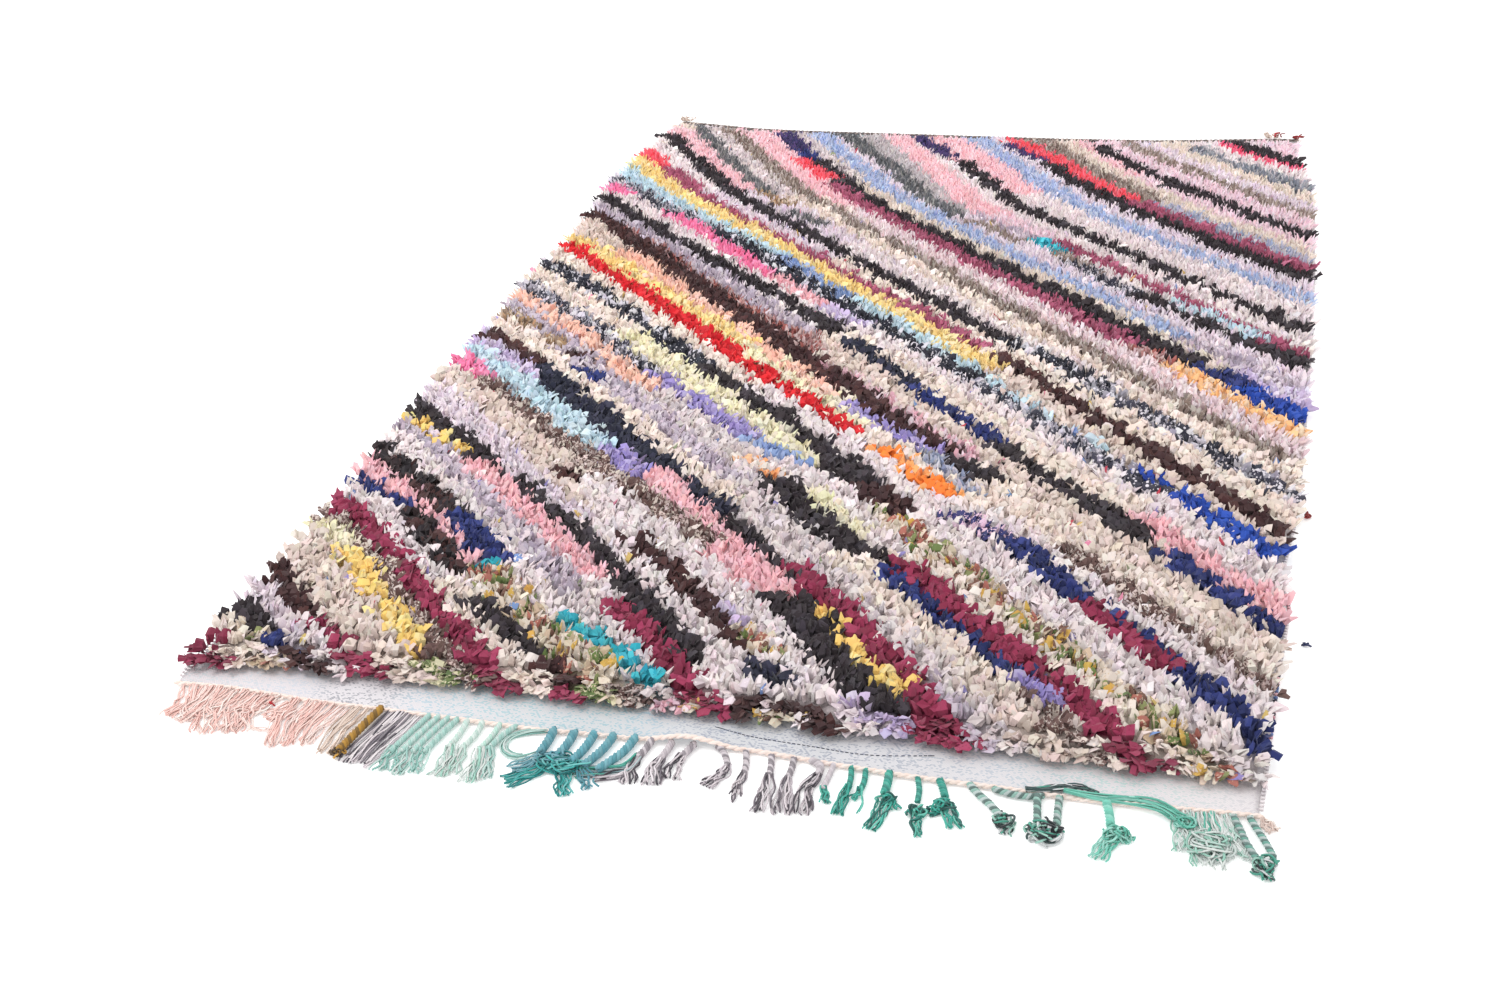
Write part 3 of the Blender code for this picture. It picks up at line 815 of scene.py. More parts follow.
def rag_material(name, dots):
    """Cotton rag: the flap's colour with printed dots or blotches, and a fine weave."""
    material, tree, shader, place = new_material(name, 0.92, 0.12)
    rag = read_colour(tree, "rag_colour")
    printed = read_colour(tree, "print_colour")
    share = printed.outputs["Alpha"]
    if dots:
        cells = add_node(tree, "ShaderNodeTexVoronoi", {"Vector": place, "Scale": DOT_SCALE})
        reach = maths(tree, "MULTIPLY", share, DOT_REACH)
        mask = maths(tree, "LESS_THAN", cells.outputs["Distance"], reach)
    else:
        lift = maths(tree, "MULTIPLY", share, BLOTCH_LIFT)
        lifted = maths(tree, "ADD", grain(tree, place, BLOTCH_SCALE, 2.0), lift)
        mask = maths(tree, "GREATER_THAN", lifted, BLOTCH_FROM)
    colour = mix_colours(tree, mask, rag.outputs["Color"], printed.outputs["Color"])
    tree.links.new(colour, shader.inputs["Base Color"])
    add_bump(tree, shader, grain(tree, place, WEAVE_SCALE, 1.0), 0.35, 0.0006)
    return material


# %% [markdown]
# ## Rods
#
# Yarn, cord and rag all start as one thing, a closed rod cut into rings. Its points hold
# their place along the rod and their angle round it, so one template serves every yarn:
# each copy only needs its own spine and its own thickness.


# %% Make a rod template
def rod_template(rings, sides):
    """A closed rod whose points are (share of the length, angle round it, 0)."""
    bm = bmesh.new()
    bmesh.ops.create_cone(
        bm, cap_ends=True, cap_tris=False, segments=sides, radius1=1.0, radius2=1.0, depth=1.0
    )
    for cut in range(1, rings - 1):
        height = cut / (rings - 1) - 0.5
        geom = bm.verts[:] + bm.edges[:] + bm.faces[:]
        bmesh.ops.bisect_plane(bm, geom=geom, plane_co=(0, 0, height), plane_no=(0, 0, 1))
    layer = bm.loops.layers.uv.new("unrolled")
    half = math.pi / sides
    for face in bm.faces:
        middle = face.calc_center_median()
        is_cap = abs(middle.x) + abs(middle.y) < 0.01
        centre = math.atan2(middle.y, middle.x)
        first = round((centre - half) / math.tau, 4) % 1.0
        for loop in face.loops:
            point = loop.vert.co
            if is_cap:
                side = 0.25 if middle.z < 0 else 0.75
                loop[layer].uv = (side + point.x * 0.2, 0.96 + point.y * 0.04)
            else:
                ahead = (math.atan2(point.y, point.x) - centre + math.pi) % math.tau - math.pi
                loop[layer].uv = (first + (ahead + half) / math.tau, (point.z + 0.5) * 0.9)
    for vert in bm.verts:
        vert.co = (vert.co.z + 0.5, math.atan2(vert.co.y, vert.co.x), 0)
    return read_shape(bm)


# %% Sweep rods along lines
# Not quite upright, so that no rod runs along it.
NEARLY_UP = (0.01, 0.02, 1.0)


def unit(vectors, spare=1e-9):
    """Vectors made one long. The spare keeps one without length from a division by zero."""
    return vectors / (np.linalg.norm(vectors, axis=-1, keepdims=True) + spare)


def sweep(template, spines, radii):
    """Rods along spines, (copies, rings, 3), with radii, (copies, rings)."""
    rings = spines.shape[1]
    ring = np.rint(template.points[:, 0] * (rings - 1)).astype(int)
    angle = template.points[:, 1]
    ahead = unit(np.gradient(spines, axis=1))
    side = unit(np.cross(ahead, np.array(NEARLY_UP)))
    upward = np.cross(ahead, side)
    cos_angle = np.cos(angle)[None, :, None]
    sin_angle = np.sin(angle)[None, :, None]
    around = cos_angle * side[:, ring] + sin_angle * upward[:, ring]
    return spines[:, ring] + radii[:, ring][..., None] * around


# %% [markdown]
# ## Flaps
#
# A flap is the free end of a knotted rag: a strip about a finger's width, creased along its
# middle, torn to a ragged point, that stands up and curls over. Each shape is a three-sided
# rod, which a crease gives anyway, bent along its own arc and twisted a little. Nineteen
# shapes, turned and stretched differently, never look repeated.

# %% Flap shapes
Bend = namedtuple("Bend", "rise fall widths crease crease_at skew twist")
PETAL_BENDS = (
    Bend(78, 22, (0.70, 1.05, 0.80), 0.13, 0.10, 0.15, 14),
    Bend(70, 30, (0.60, 1.10, 0.40), -0.13, -0.10, -0.25, -22),
    Bend(84, 14, (0.65, 0.95, 0.95), 0.15, -0.15, 0.28, 28),
    Bend(72, 10, (0.60, 1.15, 0.60), -0.14, 0.12, -0.12, 10),
    Bend(60, 26, (0.55, 1.05, 0.20), 0.11, 0.00, 0.32, -30),
    Bend(86, 36, (0.65, 0.90, 0.70), -0.15, 0.15, -0.30, 24),
    Bend(74, 18, (0.60, 1.20, 0.95), 0.13, -0.05, 0.05, -16),
    Bend(66, 34, (0.55, 1.00, 0.15), -0.11, 0.05, 0.20, 34),
)
STRIP_BENDS = (
    Bend(72, 36, (0.75, 1.05, 0.25), 0.28, 0.10, 0.25, 20),
    Bend(60, 24, (0.70, 1.00, 0.45), -0.28, -0.10, -0.30, -30),
    Bend(82, 40, (0.75, 0.95, 0.15), 0.30, 0.00, 0.35, 40),
    Bend(66, 16, (0.75, 1.10, 0.60), -0.28, 0.15, -0.20, -15),
    Bend(54, 30, (0.70, 0.90, 0.12), 0.26, -0.15, 0.40, 30),
    Bend(86, 50, (0.80, 1.00, 0.35), -0.30, 0.05, -0.35, -40),
)
SHARD_BENDS = (
    Bend(64, 64, (1.00, 0.25), 0.34, 0.10, 0.20, 25),
    Bend(52, 52, (0.95, 0.40), -0.34, -0.10, -0.25, -30),
    Bend(74, 74, (1.05, 0.15), 0.32, 0.00, 0.30, 15),
    Bend(58, 58, (0.90, 0.50), -0.32, 0.15, -0.15, 40),
    Bend(68, 68, (1.00, 0.10), 0.36, -0.15, 0.35, -20),
)


# %% Bend the flaps
def flap_shape(template, bend):
    """One closed flap of unit width and length, standing on the origin and leaning to +Y."""
    segments = len(bend.widths) - 1
    spine = [np.zeros(3)]
    for step in range(segments):
        angle = math.radians(bend.rise + step / max(segments - 1, 1) * (bend.fall - bend.rise))
        spine.append(spine[-1] + np.array((0.0, math.cos(angle), math.sin(angle))) / segments)
    corners = {"right": (0.5, 0.0), "left": (-0.5, 0.0), "ridge": (bend.crease_at, bend.crease)}
    order = ("ridge", "right", "left") if bend.crease > 0 else ("right", "ridge", "left")
    rightward = np.array((1.0, 0.0, 0.0))
    points = []
    for share, angle, _zero in template.points:
        row = round(share * segments)
        ahead = spine[min(row + 1, segments)] - spine[max(row - 1, 0)]
        ahead = ahead / np.linalg.norm(ahead)
        upward = np.array((0.0, -ahead[2], ahead[1]))
        twist = math.radians(bend.twist) * share
        side = rightward * math.cos(twist) + upward * math.sin(twist)
        raised = upward * math.cos(twist) - rightward * math.sin(twist)
        corner = order[round((angle - math.pi / 2) / (math.tau / 3)) % 3]
        across, height = corners[corner]
        shift = side * bend.skew * share * share
        points.append(spine[row] + bend.widths[row] * (side * across + raised * height) + shift)
    return template._replace(points=np.array(points))


bent_template = rod_template(3, 3)
straight_template = rod_template(2, 3)
PETALS = [flap_shape(bent_template, bend) for bend in PETAL_BENDS]
STRIPS = [flap_shape(bent_template, bend) for bend in STRIP_BENDS]
SHARDS = [flap_shape(straight_template, bend) for bend in SHARD_BENDS]
FLAPS = PETALS + STRIPS + SHARDS
print(len(FLAPS), "flap shapes, of", len(bent_template.starts), "faces or fewer")

# %% [markdown]
# ## Knots
#
# Knots stand in rows across the rug, one row for every few shots of weft, so the edge of a
# stripe is a flight of small steps. Each knot reads its rag from the chart at its own
# place, and sends up a few flaps that lean their own ways.

# %% Lay out the knots
KNOT_ROWS = 108
KNOT_COLUMNS = 104
KNOT_SHIFT = 0.2
SIDE_MARGIN = 0.002
draw = np.random.default_rng(5)

rows, columns = np.meshgrid(np.arange(KNOT_ROWS), np.arange(KNOT_COLUMNS), indexing="ij")
shift = draw.uniform(-KNOT_SHIFT, KNOT_SHIFT, rows.shape)
knot_share = (columns + 0.5 + 0.5 * (rows % 2) - 0.25) / KNOT_COLUMNS
knot_share = np.clip(knot_share + shift / KNOT_COLUMNS, SIDE_MARGIN, 1 - SIDE_MARGIN)
pile_start = far_end(knot_share) + CORD_WIDTH + FAR_BAND
pile_depth = pile_end(knot_share) - pile_start
shift = draw.uniform(-KNOT_SHIFT, KNOT_SHIFT, rows.shape)
knot_along = pile_start + (rows + 0.5 + shift) / KNOT_ROWS * pile_depth
knot_x = across_rug(knot_share, knot_along, CLOTH_INSET)
knot_y = RUG_LENGTH / 2 - knot_along

# %% Read each knot's rag
WANDER = 0.9
WANDER_SIZE = 0.16
STEP_JITTER = 0.55


def wander(x, y):
    """A slow drift of the stripes, in centimetres."""
    return WANDER * noise.noise(Vector((x, y, 0.3)) / WANDER_SIZE)


PILE_FAR = 0.014
PILE_NEAR = 0.026


def pile_height(along):
    """How high the flaps reach: the far half is clipped shorter."""
    return PILE_FAR + (PILE_NEAR - PILE_FAR) * np.clip(along / RUG_LENGTH, 0, 1)


SEEN_HEIGHT = 0.85
SEEN_DROOP = 0.6
RIM_REACH = 0.034
NEAR_REACH = 0.055


def at_rim(inside, reach):
    """One on a rim of the pile, falling to nothing at a reach inside it."""
    return np.clip(1 - inside / reach, 0, 1)


def seen_place(x, along):
    """Where the line of sight through the pile's top meets the floor, in centimetres.

    The chart was read as if the stripes lay on the floor, so it is looked up there. Near the
    near rim the flaps droop, so they are seen lower.
    """
    y = RUG_LENGTH / 2 - along
    share = (x + RUG_WIDTH / 2) / RUG_WIDTH
    drooping = at_rim(pile_end(share) - along, NEAR_REACH)
    seen_height = SEEN_HEIGHT * pile_height(along) * (1 - SEEN_DROOP * drooping)
    beyond = camera.location.z / (camera.location.z - seen_height)
    seen_x = camera.location.x + (x - camera.location.x) * beyond
    seen_y = camera.location.y + (y - camera.location.y) * beyond
    return (seen_x + RUG_WIDTH / 2) / CM, (RUG_LENGTH / 2 - seen_y) / CM


drift = np.array([wander(x, y) for x, y in zip(knot_x.ravel(), knot_y.ravel())])
drift = drift.reshape(knot_x.shape)
stepped_along = pile_start + (rows + 0.5) / KNOT_ROWS * pile_depth
seen_across, seen_along = seen_place(knot_x, stepped_along)
seen_across = seen_across + drift + draw.uniform(-STEP_JITTER, STEP_JITTER, knot_x.shape)
knot_rag = read_chart(seen_across, seen_along)
print(knot_rag.size, "knots")

# %% [markdown]
# Broad petals of cloth show best in the near half, where the rags were torn wide. Pink and
# tweed stripes and the whole far half are of narrower strips, and more of them to a knot, so
# there the pile looks like short fur.

# %% Plan the flaps
# The width and length of a flap of each kind, and how many of it a knot sends up.
PETAL_SIZE = (0.0138, 0.0225)
STRIP_SIZE = (0.0078, 0.0198)
SHARD_SIZE = (0.0060, 0.0165)
PETALS_A_KNOT = 4.2
STRIPS_A_KNOT = 5.5
SHARDS_A_KNOT = 7.7
SIZE_SPREAD = 0.28
# Flaps are bent from here on along the rug, at first a few and then all.
BENT_FROM = 0.80
BENT_FADE = 0.80
FAR_PETALS = 0.15
NEAR_EXTRA = 0.6
ROOT_SPREAD = (0.0085, 0.0068)
# Where the far rim has a lock of longer flaps, as a share of the width, and how wide it is.
FAR_LOCKS = ((0.545, 0.035), (0.73, 0.030), (0.36, 0.020))
LOCK_REACH = 0.013


def owned(values):
    """The knots' values, each handed on to its knot's flaps."""
    return values.ravel()[owner]


def spread(middle, share):
    """Sizes that vary by a share about a middle one."""
    return middle * draw.uniform(1 - share, 1 + share, flaps)


rag_fine = np.array([RAGS[name].fine for name in RAG_NAMES])[knot_rag]
nearness = np.clip((knot_along - BENT_FROM) / BENT_FADE, 0, 1)
petal_share = (1 - rag_fine) * (FAR_PETALS + (1 - FAR_PETALS) * nearness)
shard_share = (1 - petal_share) * (1 - nearness)
strip_share = 1 - petal_share - shard_share
wanted = PETALS_A_KNOT * petal_share + STRIPS_A_KNOT * strip_share + SHARDS_A_KNOT * shard_share
near_knot = at_rim(pile_end(knot_share) - knot_along, NEAR_REACH)
wanted = wanted * (1 + NEAR_EXTRA * near_knot)
flap_count = np.floor(wanted + draw.uniform(0, 1, wanted.shape)).astype(int)
owner = np.repeat(np.arange(knot_rag.size), flap_count.ravel())
flaps = len(owner)
flap_rag = owned(knot_rag)
chance = draw.uniform(0, 1, flaps)
is_petal = chance < owned(petal_share)
is_shard = chance > 1 - owned(shard_share)
kinds = [is_petal, is_shard]
flap_width = np.select(kinds, [PETAL_SIZE[0], SHARD_SIZE[0]], STRIP_SIZE[0])
flap_length = np.select(kinds, [PETAL_SIZE[1], SHARD_SIZE[1]], STRIP_SIZE[1])
flap_width = spread(flap_width, SIZE_SPREAD)
flap_length = spread(flap_length, SIZE_SPREAD)
root_x = owned(knot_x) + draw.uniform(-1, 1, flaps) * ROOT_SPREAD[0]
root_y = owned(knot_y) + draw.uniform(-1, 1, flaps) * ROOT_SPREAD[1]
root_share = root_x / RUG_WIDTH + 0.5
locks = sum(np.exp(-((root_share - place) / width) ** 2) for place, width in FAR_LOCKS)

# %% Lean the flaps
# In the field they lean to the far end, a knot's flaps much alike. At a rim they lean out
# over it, and at the near one they droop to the cloth.
KNOT_TURN = 0.38
FLAP_TURN = 0.42
NEAR_TURN = 1.2
SIDE_LEAN = 2.2
NEAR_LEAN = 3.2
ROOT_HEIGHT = 0.50
ROOT_JITTER = 0.0020
TILT_SPREAD = 0.17
RIM_TILT = 0.45
FAR_TILT = 0.35
ROLL_SPREAD = 0.28

along_flat = owned(knot_along)
far_rim = at_rim(along_flat - owned(pile_start), RIM_REACH)
near_rim = owned(near_knot)
left_rim = at_rim(root_x - across_rug(0.0, along_flat, 0.0), RIM_REACH)
right_rim = at_rim(across_rug(1.0, along_flat, 0.0) - root_x, RIM_REACH)
rim = np.maximum(near_rim, np.maximum(left_rim, right_rim))
root_y = root_y + LOCK_REACH * locks * far_rim
lean_x = SIDE_LEAN * (right_rim - left_rim)
lean_y = 1.0 - NEAR_LEAN * near_rim
turn = np.arctan2(-lean_x, lean_y) + draw.normal(0.0, FLAP_TURN, flaps) * (1 + NEAR_TURN * near_rim)
turn = turn + draw.normal(0.0, KNOT_TURN, knot_rag.size)[owner]
reaches = pile_height(along_flat)
root_z = CLOTH_TOP + ROOT_HEIGHT * reaches * (1 - 0.5 * far_rim) * (1 - 0.5 * near_rim)
root_z = root_z + draw.uniform(-ROOT_JITTER, ROOT_JITTER, flaps)
tilt = draw.normal(0.0, TILT_SPREAD, flaps) - RIM_TILT * rim - FAR_TILT * far_rim
# A flap too long for the pile's height there is pressed flatter.
flatten = np.clip(0.5 * reaches / (0.60 * flap_length), 0.40, 1.0) * (1 - 0.25 * near_rim)
roll = draw.normal(0.0, ROLL_SPREAD, flaps)
print(flaps, "flaps")

# %% Colour the flaps
LIGHTNESS_SPREAD = 0.11
HUE_SPREAD = 0.025
# Painted light: flaps are made lighter toward the far end and darker toward the near end.
FAR_PAINTED_LIGHT = 1.12
NEAR_PAINTED_SHADE = 0.31
FLAP_STRAYS = 0.35
MOST_COLOURS = max(len(rag.colours) for rag in RAGS.values())
palette = np.zeros((len(RAG_NAMES), MOST_COLOURS, 3))
for number, name in enumerate(RAG_NAMES):
    for place in range(MOST_COLOURS):
        colours = RAGS[name].colours
        palette[number, place] = shade(*colours[place % len(colours)])
palette_size = np.array([len(RAGS[name].colours) for name in RAG_NAMES])
table_print = np.array([RAGS[name].print_share for name in RAG_NAMES])
knot_pick = draw.uniform(0, 1, knot_rag.size)[owner]
strays = draw.uniform(0, 1, flaps) < np.where(owned(rag_fine) > 0.99, 1.0, FLAP_STRAYS)
knot_pick = np.where(strays, draw.uniform(0, 1, flaps), knot_pick)
picked = (knot_pick * palette_size[flap_rag]).astype(int)
first = palette[flap_rag, picked]
second = palette[flap_rag, palette_size[flap_rag] - 1]
accent = draw.uniform(0, 1, flaps) < ACCENT_SHARE
accent &= np.isin(flap_rag, [RAG_NAMES.index(name) for name in ACCENT_RAGS])
accent_colours = np.array([shade(*colour) for colour in ACCENTS])
first = np.where(accent[:, None], accent_colours[draw.integers(0, len(ACCENTS), flaps)], first)
knot_light = draw.normal(1.0, LIGHTNESS_SPREAD / 2, knot_rag.size)[owner]
flap_light = knot_light * draw.normal(1.0, LIGHTNESS_SPREAD / 2, flaps)
# Painted light: each flap is lighter at the far end and darker toward the near end.
flap_light = flap_light * (FAR_PAINTED_LIGHT - NEAR_PAINTED_SHADE * along_flat / RUG_LENGTH)
tint = draw.normal(1.0, HUE_SPREAD, (flaps, 3))
flap_colour = np.clip(first * flap_light[:, None] * tint, DARKEST, PALEST)
print_alpha = np.clip(table_print[flap_rag] * draw.uniform(0.5, 1.5, flaps), 0, 1)
flap_colour = np.concatenate((flap_colour, np.ones((flaps, 1))), axis=1)
print_colour = np.concatenate((second, print_alpha[:, None]), axis=1)


# %% Turn, stretch and place the copies
TALLEST = 0.0395
FLAP_CLEARANCE = 0.0005


def turned(first, second, angles):
    """Two coordinates of the copies' points, turned from the first toward the second."""
    cos_angle, sin_angle = np.cos(angles)[:, None], np.sin(angles)[:, None]
    return first * cos_angle - second * sin_angle, second * cos_angle + first * sin_angle


def turned_copies(shape, picks):
    """The points of the picked flaps, each turned, stretched and put in its place."""
    sizes = np.stack((flap_width[picks], flap_length[picks], flap_length[picks]), axis=1)
    local = shape.points[None] * sizes[:, None]
    x, y, z = local[..., 0], local[..., 1], local[..., 2]
    z, x = turned(z, x, roll[picks])
    y, z = turned(y, z, tilt[picks])
    x, y = turned(x, y, turn[picks])
    x = x + root_x[picks][:, None]
    y = y + root_y[picks][:, None]
    z = root_z[picks][:, None] + z * flatten[picks][:, None]
    z = np.clip(z, CLOTH_TOP + FLAP_CLEARANCE, TALLEST)
    return np.stack((x, y, z), axis=2)


# %% Build one joined piece for each cloth
petal_pick = draw.integers(0, len(PETALS), flaps)
strip_pick = len(PETALS) + draw.integers(0, len(STRIPS), flaps)
shard_pick = len(PETALS) + len(STRIPS) + draw.integers(0, len(SHARDS), flaps)
shape_pick = np.select(kinds, [petal_pick, shard_pick], strip_pick)
piece_of_rag = np.array([RAGS[name].piece for name in RAG_NAMES])
flap_piece = piece_of_rag[flap_rag]
for piece in sorted(set(piece_of_rag)):
    material = rag_material(piece + "_cotton", dots=piece == "rags_dotted")
    parts = []
    for number, shape in enumerate(FLAPS):
        picks = np.nonzero((flap_piece == piece) & (shape_pick == number))[0]
        colours = {"rag_colour": flap_colour[picks], "print_colour": print_colour[picks]}
        parts.append((shape, turned_copies(shape, picks), colours))
    dress(joined_object(piece, parts, material, smooth=False), "rag_pile")
    print(piece, sum(len(part[1]) for part in parts), "flaps")

# %% [markdown]
# ## The pile's foot
#
# Between the flaps one sees the knots' collars, packed close. A lumpy mat stands for them,
# in the colours of the chart darkened by painted shade, more so toward the near end.

# %% The foot
FOOT_COLUMNS = 96
FOOT_ROWS = 150
FOOT_LUMP = 0.0025
LUMP_SIZE = 0.016
FOOT_SHARE = 0.60
FOOT_RIM = 0.003
FOOT_CLEARANCE = 0.0003
FOOT_INSIDE = 0.020
FOOT_FROM_CORD = 0.006
FOOT_SHORT_OF_BAND = 0.024
# Painted shade on the foot: its lightness at the far end, and how much darker it grows toward the near
# end.
FOOT_DARKER = 0.98
FOOT_NEAR_DARKER = 0.42


def foot_material():
    """Packed knots: the chart's colours with painted shade, under small lumps."""
    material, tree, shader, place = new_material("pile_foot_cotton", 1.0, 0.0)
    tree.links.new(read_colour(tree, "rag_colour").outputs["Color"], shader.inputs["Base Color"])
    add_bump(tree, shader, grain(tree, place, 320.0, 3.0), 0.8, 0.003)
    return material


bm = bmesh.new()
bmesh.ops.create_grid(bm, x_segments=FOOT_COLUMNS, y_segments=FOOT_ROWS, size=0.5)
share = np.array([vert.co.x + 0.5 for vert in bm.verts])
depth = np.array([0.5 - vert.co.y for vert in bm.verts])
start = far_end(share) + CORD_WIDTH + FAR_BAND + FOOT_FROM_CORD
along = start + depth * (pile_end(share) - FOOT_SHORT_OF_BAND - start)
foot_x = across_rug(share, along, FOOT_INSIDE)
on_rim = (share < 0.001) | (share > 0.999) | (depth < 0.001) | (depth > 0.999)
foot_across, foot_along = seen_place(foot_x, along)
foot_rag = read_chart(foot_across, foot_along)
foot_colour = np.ones((len(share), 4))
# Painted shade: the foot's colours are darkened, more toward the near end.
foot_painted_shade = FOOT_DARKER - FOOT_NEAR_DARKER * along / RUG_LENGTH
foot_colour[:, :3] = palette[foot_rag].mean(axis=1) * foot_painted_shade[:, None]
foot_height = CLOTH_TOP + FOOT_SHARE * pile_height(along)
for number, vert in enumerate(bm.verts):
    x, y = foot_x[number], RUG_LENGTH / 2 - along[number]
    lump = FOOT_LUMP * noise.noise(Vector((x, y, 0)) / LUMP_SIZE)
    inside = min(share[number], 1 - share[number], depth[number], 1 - depth[number])
    rounded = foot_height[number] * min(1.0, 0.45 + inside * 20)
    vert.co = (x, y, CLOTH_TOP + FOOT_RIM if on_rim[number] else rounded + lump)
rim_edges = [edge for edge in bm.edges if edge.is_boundary]
skirt = bmesh.ops.extrude_edge_only(bm, edges=rim_edges)["geom"]
for item in skirt:
    if isinstance(item, bmesh.types.BMVert):
        item.co.z = CLOTH_TOP + FOOT_CLEARANCE
bmesh.ops.contextual_create(bm, geom=[edge for edge in bm.edges if edge.is_boundary])
bmesh.ops.triangulate(bm, faces=[face for face in bm.faces if len(face.verts) > 4])
bmesh.ops.recalc_face_normals(bm, faces=bm.faces)
pile_foot = mesh_object("pile_foot", bm)
foot_mesh = pile_foot.data
# The skirt's points come last, under the flaps, and take a plain grey.
padded_colour = np.full((len(foot_mesh.vertices), 4), 0.5)
padded_colour[:len(foot_colour)] = foot_colour
paint(foot_mesh, "rag_colour", padded_colour)
foot_mesh.shade_smooth()
foot_mesh.materials.append(foot_material())
dress(pile_foot, "rag_pile", "pile")
print("foot:", len(foot_mesh.polygons), "faces")

# %% [markdown]
# ## Ground cloth
#
# The ground cloth shows only at the two ends, where the weaver left flat bands. It is a
# plain weave of pale cotton, beaten so close that only the weft shows, and the weft yarn is
# flecked with blue and turquoise. It is one thin sheet in the rug's full outline, with the
# one ripple that the photograph shows near the middle of the near edge.

# %% Shape the cloth
CLOTH_COLUMNS = 150
FIELD_ROWS = 40
BAND_ROWS = 14
CLOTH_THICKNESS = 0.0026
RIPPLE_X = 0.015
RIPPLE_HALF_WIDTH = 0.075
RIPPLE_HEIGHT = 0.0120
CLOTH_WAVE = 0.0012
CLOTH_BOTTOM = 0.0003
EDGE_BOW = 12


def ripple(x, along):
    """Height that the cloth stands off the floor at a place."""
    in_band = np.clip((along - (RUG_LENGTH - NEAR_BAND)) / NEAR_BAND, 0, 1)
    offset = np.clip(np.abs(x - RIPPLE_X) / RIPPLE_HALF_WIDTH, 0, 1)
    waves = CLOTH_WAVE * (0.5 + 0.5 * np.sin(x * 31.0 + 1.7) * np.cos(x * 13.0))
    return in_band * (RIPPLE_HEIGHT * (0.5 + 0.5 * np.cos(math.pi * offset)) + waves)


bm = bmesh.new()
bmesh.ops.create_grid(bm, x_segments=CLOTH_COLUMNS, y_segments=FIELD_ROWS + BAND_ROWS, size=0.5)
band_from = 1 - 1.3 * NEAR_BAND / RUG_LENGTH
field = np.linspace(0, band_from, FIELD_ROWS, endpoint=False)
row_shares = np.concatenate((field, np.linspace(band_from, 1, BAND_ROWS + 1)))
for vert in bm.verts:
    share = vert.co.x + 0.5
    row = round((0.5 - vert.co.y) * (FIELD_ROWS + BAND_ROWS))
    start = far_end(share) + CORD_WIDTH
    along = start + row_shares[row] * (RUG_LENGTH - start)
    x = across_rug(share, along, CLOTH_INSET)
    y = RUG_LENGTH / 2 - along - near_out(x) * row_shares[row] ** EDGE_BOW
    vert.co = (x, y, CLOTH_BOTTOM + ripple(x, along))
cloth_area = sum(face.calc_area() for face in bm.faces)
lifted = bmesh.ops.extrude_face_region(bm, geom=bm.faces[:])["geom"]
tops = [item for item in lifted if isinstance(item, bmesh.types.BMVert)]
bmesh.ops.translate(bm, verts=tops, vec=(0, 0, CLOTH_THICKNESS))
bmesh.ops.recalc_face_normals(bm, faces=bm.faces)
ground_cloth = mesh_object("ground_weave_cloth", bm)
ground_cloth.data.shade_smooth()
dress(ground_cloth, "ground_weave", "ground_cloth")
print(f"cloth area {cloth_area:.2f} square metres")

# %% [markdown]
# The weave is a brick pattern: each brick is one float of weft over a pair of warps. A few
# of them are flecks, more of them where the yarn runs streaky. Two tables give the colours
# of the flecks and of the pale weft from one side of the rug to the other.

# %% Weave finish
FLOAT_LENGTH = 0.0034
FLOAT_HEIGHT = 0.0021
GAP_WIDTH = 0.00032
GAP_SHADE = (180, 182, 190)
GAP_DEPTH = 0.55
STREAKS = (9.0, 240.0, 1.0)
FLECK_LIMIT = 1.18
FLECK_STREAKS = -0.9
FLECK_STRENGTH = 0.62
# A place across the rug, from 0 to 1, and the weft's colour there.
FLECKS = (
    (0.00, (186, 206, 208)), (0.13, (188, 198, 212)), (0.16, (84, 90, 104)), (0.21, (92, 100, 116)),
    (0.24, (140, 184, 204)), (0.31, (112, 186, 196)), (0.42, (86, 170, 186)), (0.47, (130, 180, 200)),
    (0.50, (104, 120, 152)), (0.66, (112, 122, 146)), (0.78, (160, 176, 192)), (0.88, (150, 206, 198)),
    (1.00, (206, 190, 198)),
)
PALE_WEFT = (
    (0.00, (221, 213, 216)), (0.22, (219, 215, 218)), (0.40, (202, 205, 207)), (0.60, (206, 206, 209)),
    (1.00, (226, 220, 221)),
)


def colour_ramp(tree, factor, stops):
    """A colour that changes with a factor, by a table of places and eye colours."""
    ramp = add_node(tree, "ShaderNodeValToRGB", {"Fac": factor})
    elements = ramp.color_ramp.elements
    elements[0].position, elements[0].color = stops[0][0], (*shade(*stops[0][1]), 1)
    elements[1].position, elements[1].color = stops[-1][0], (*shade(*stops[-1][1]), 1)
    for place, colour in stops[1:-1]:
        elements.new(place).color = (*shade(*colour), 1)
    return ramp.outputs["Color"]


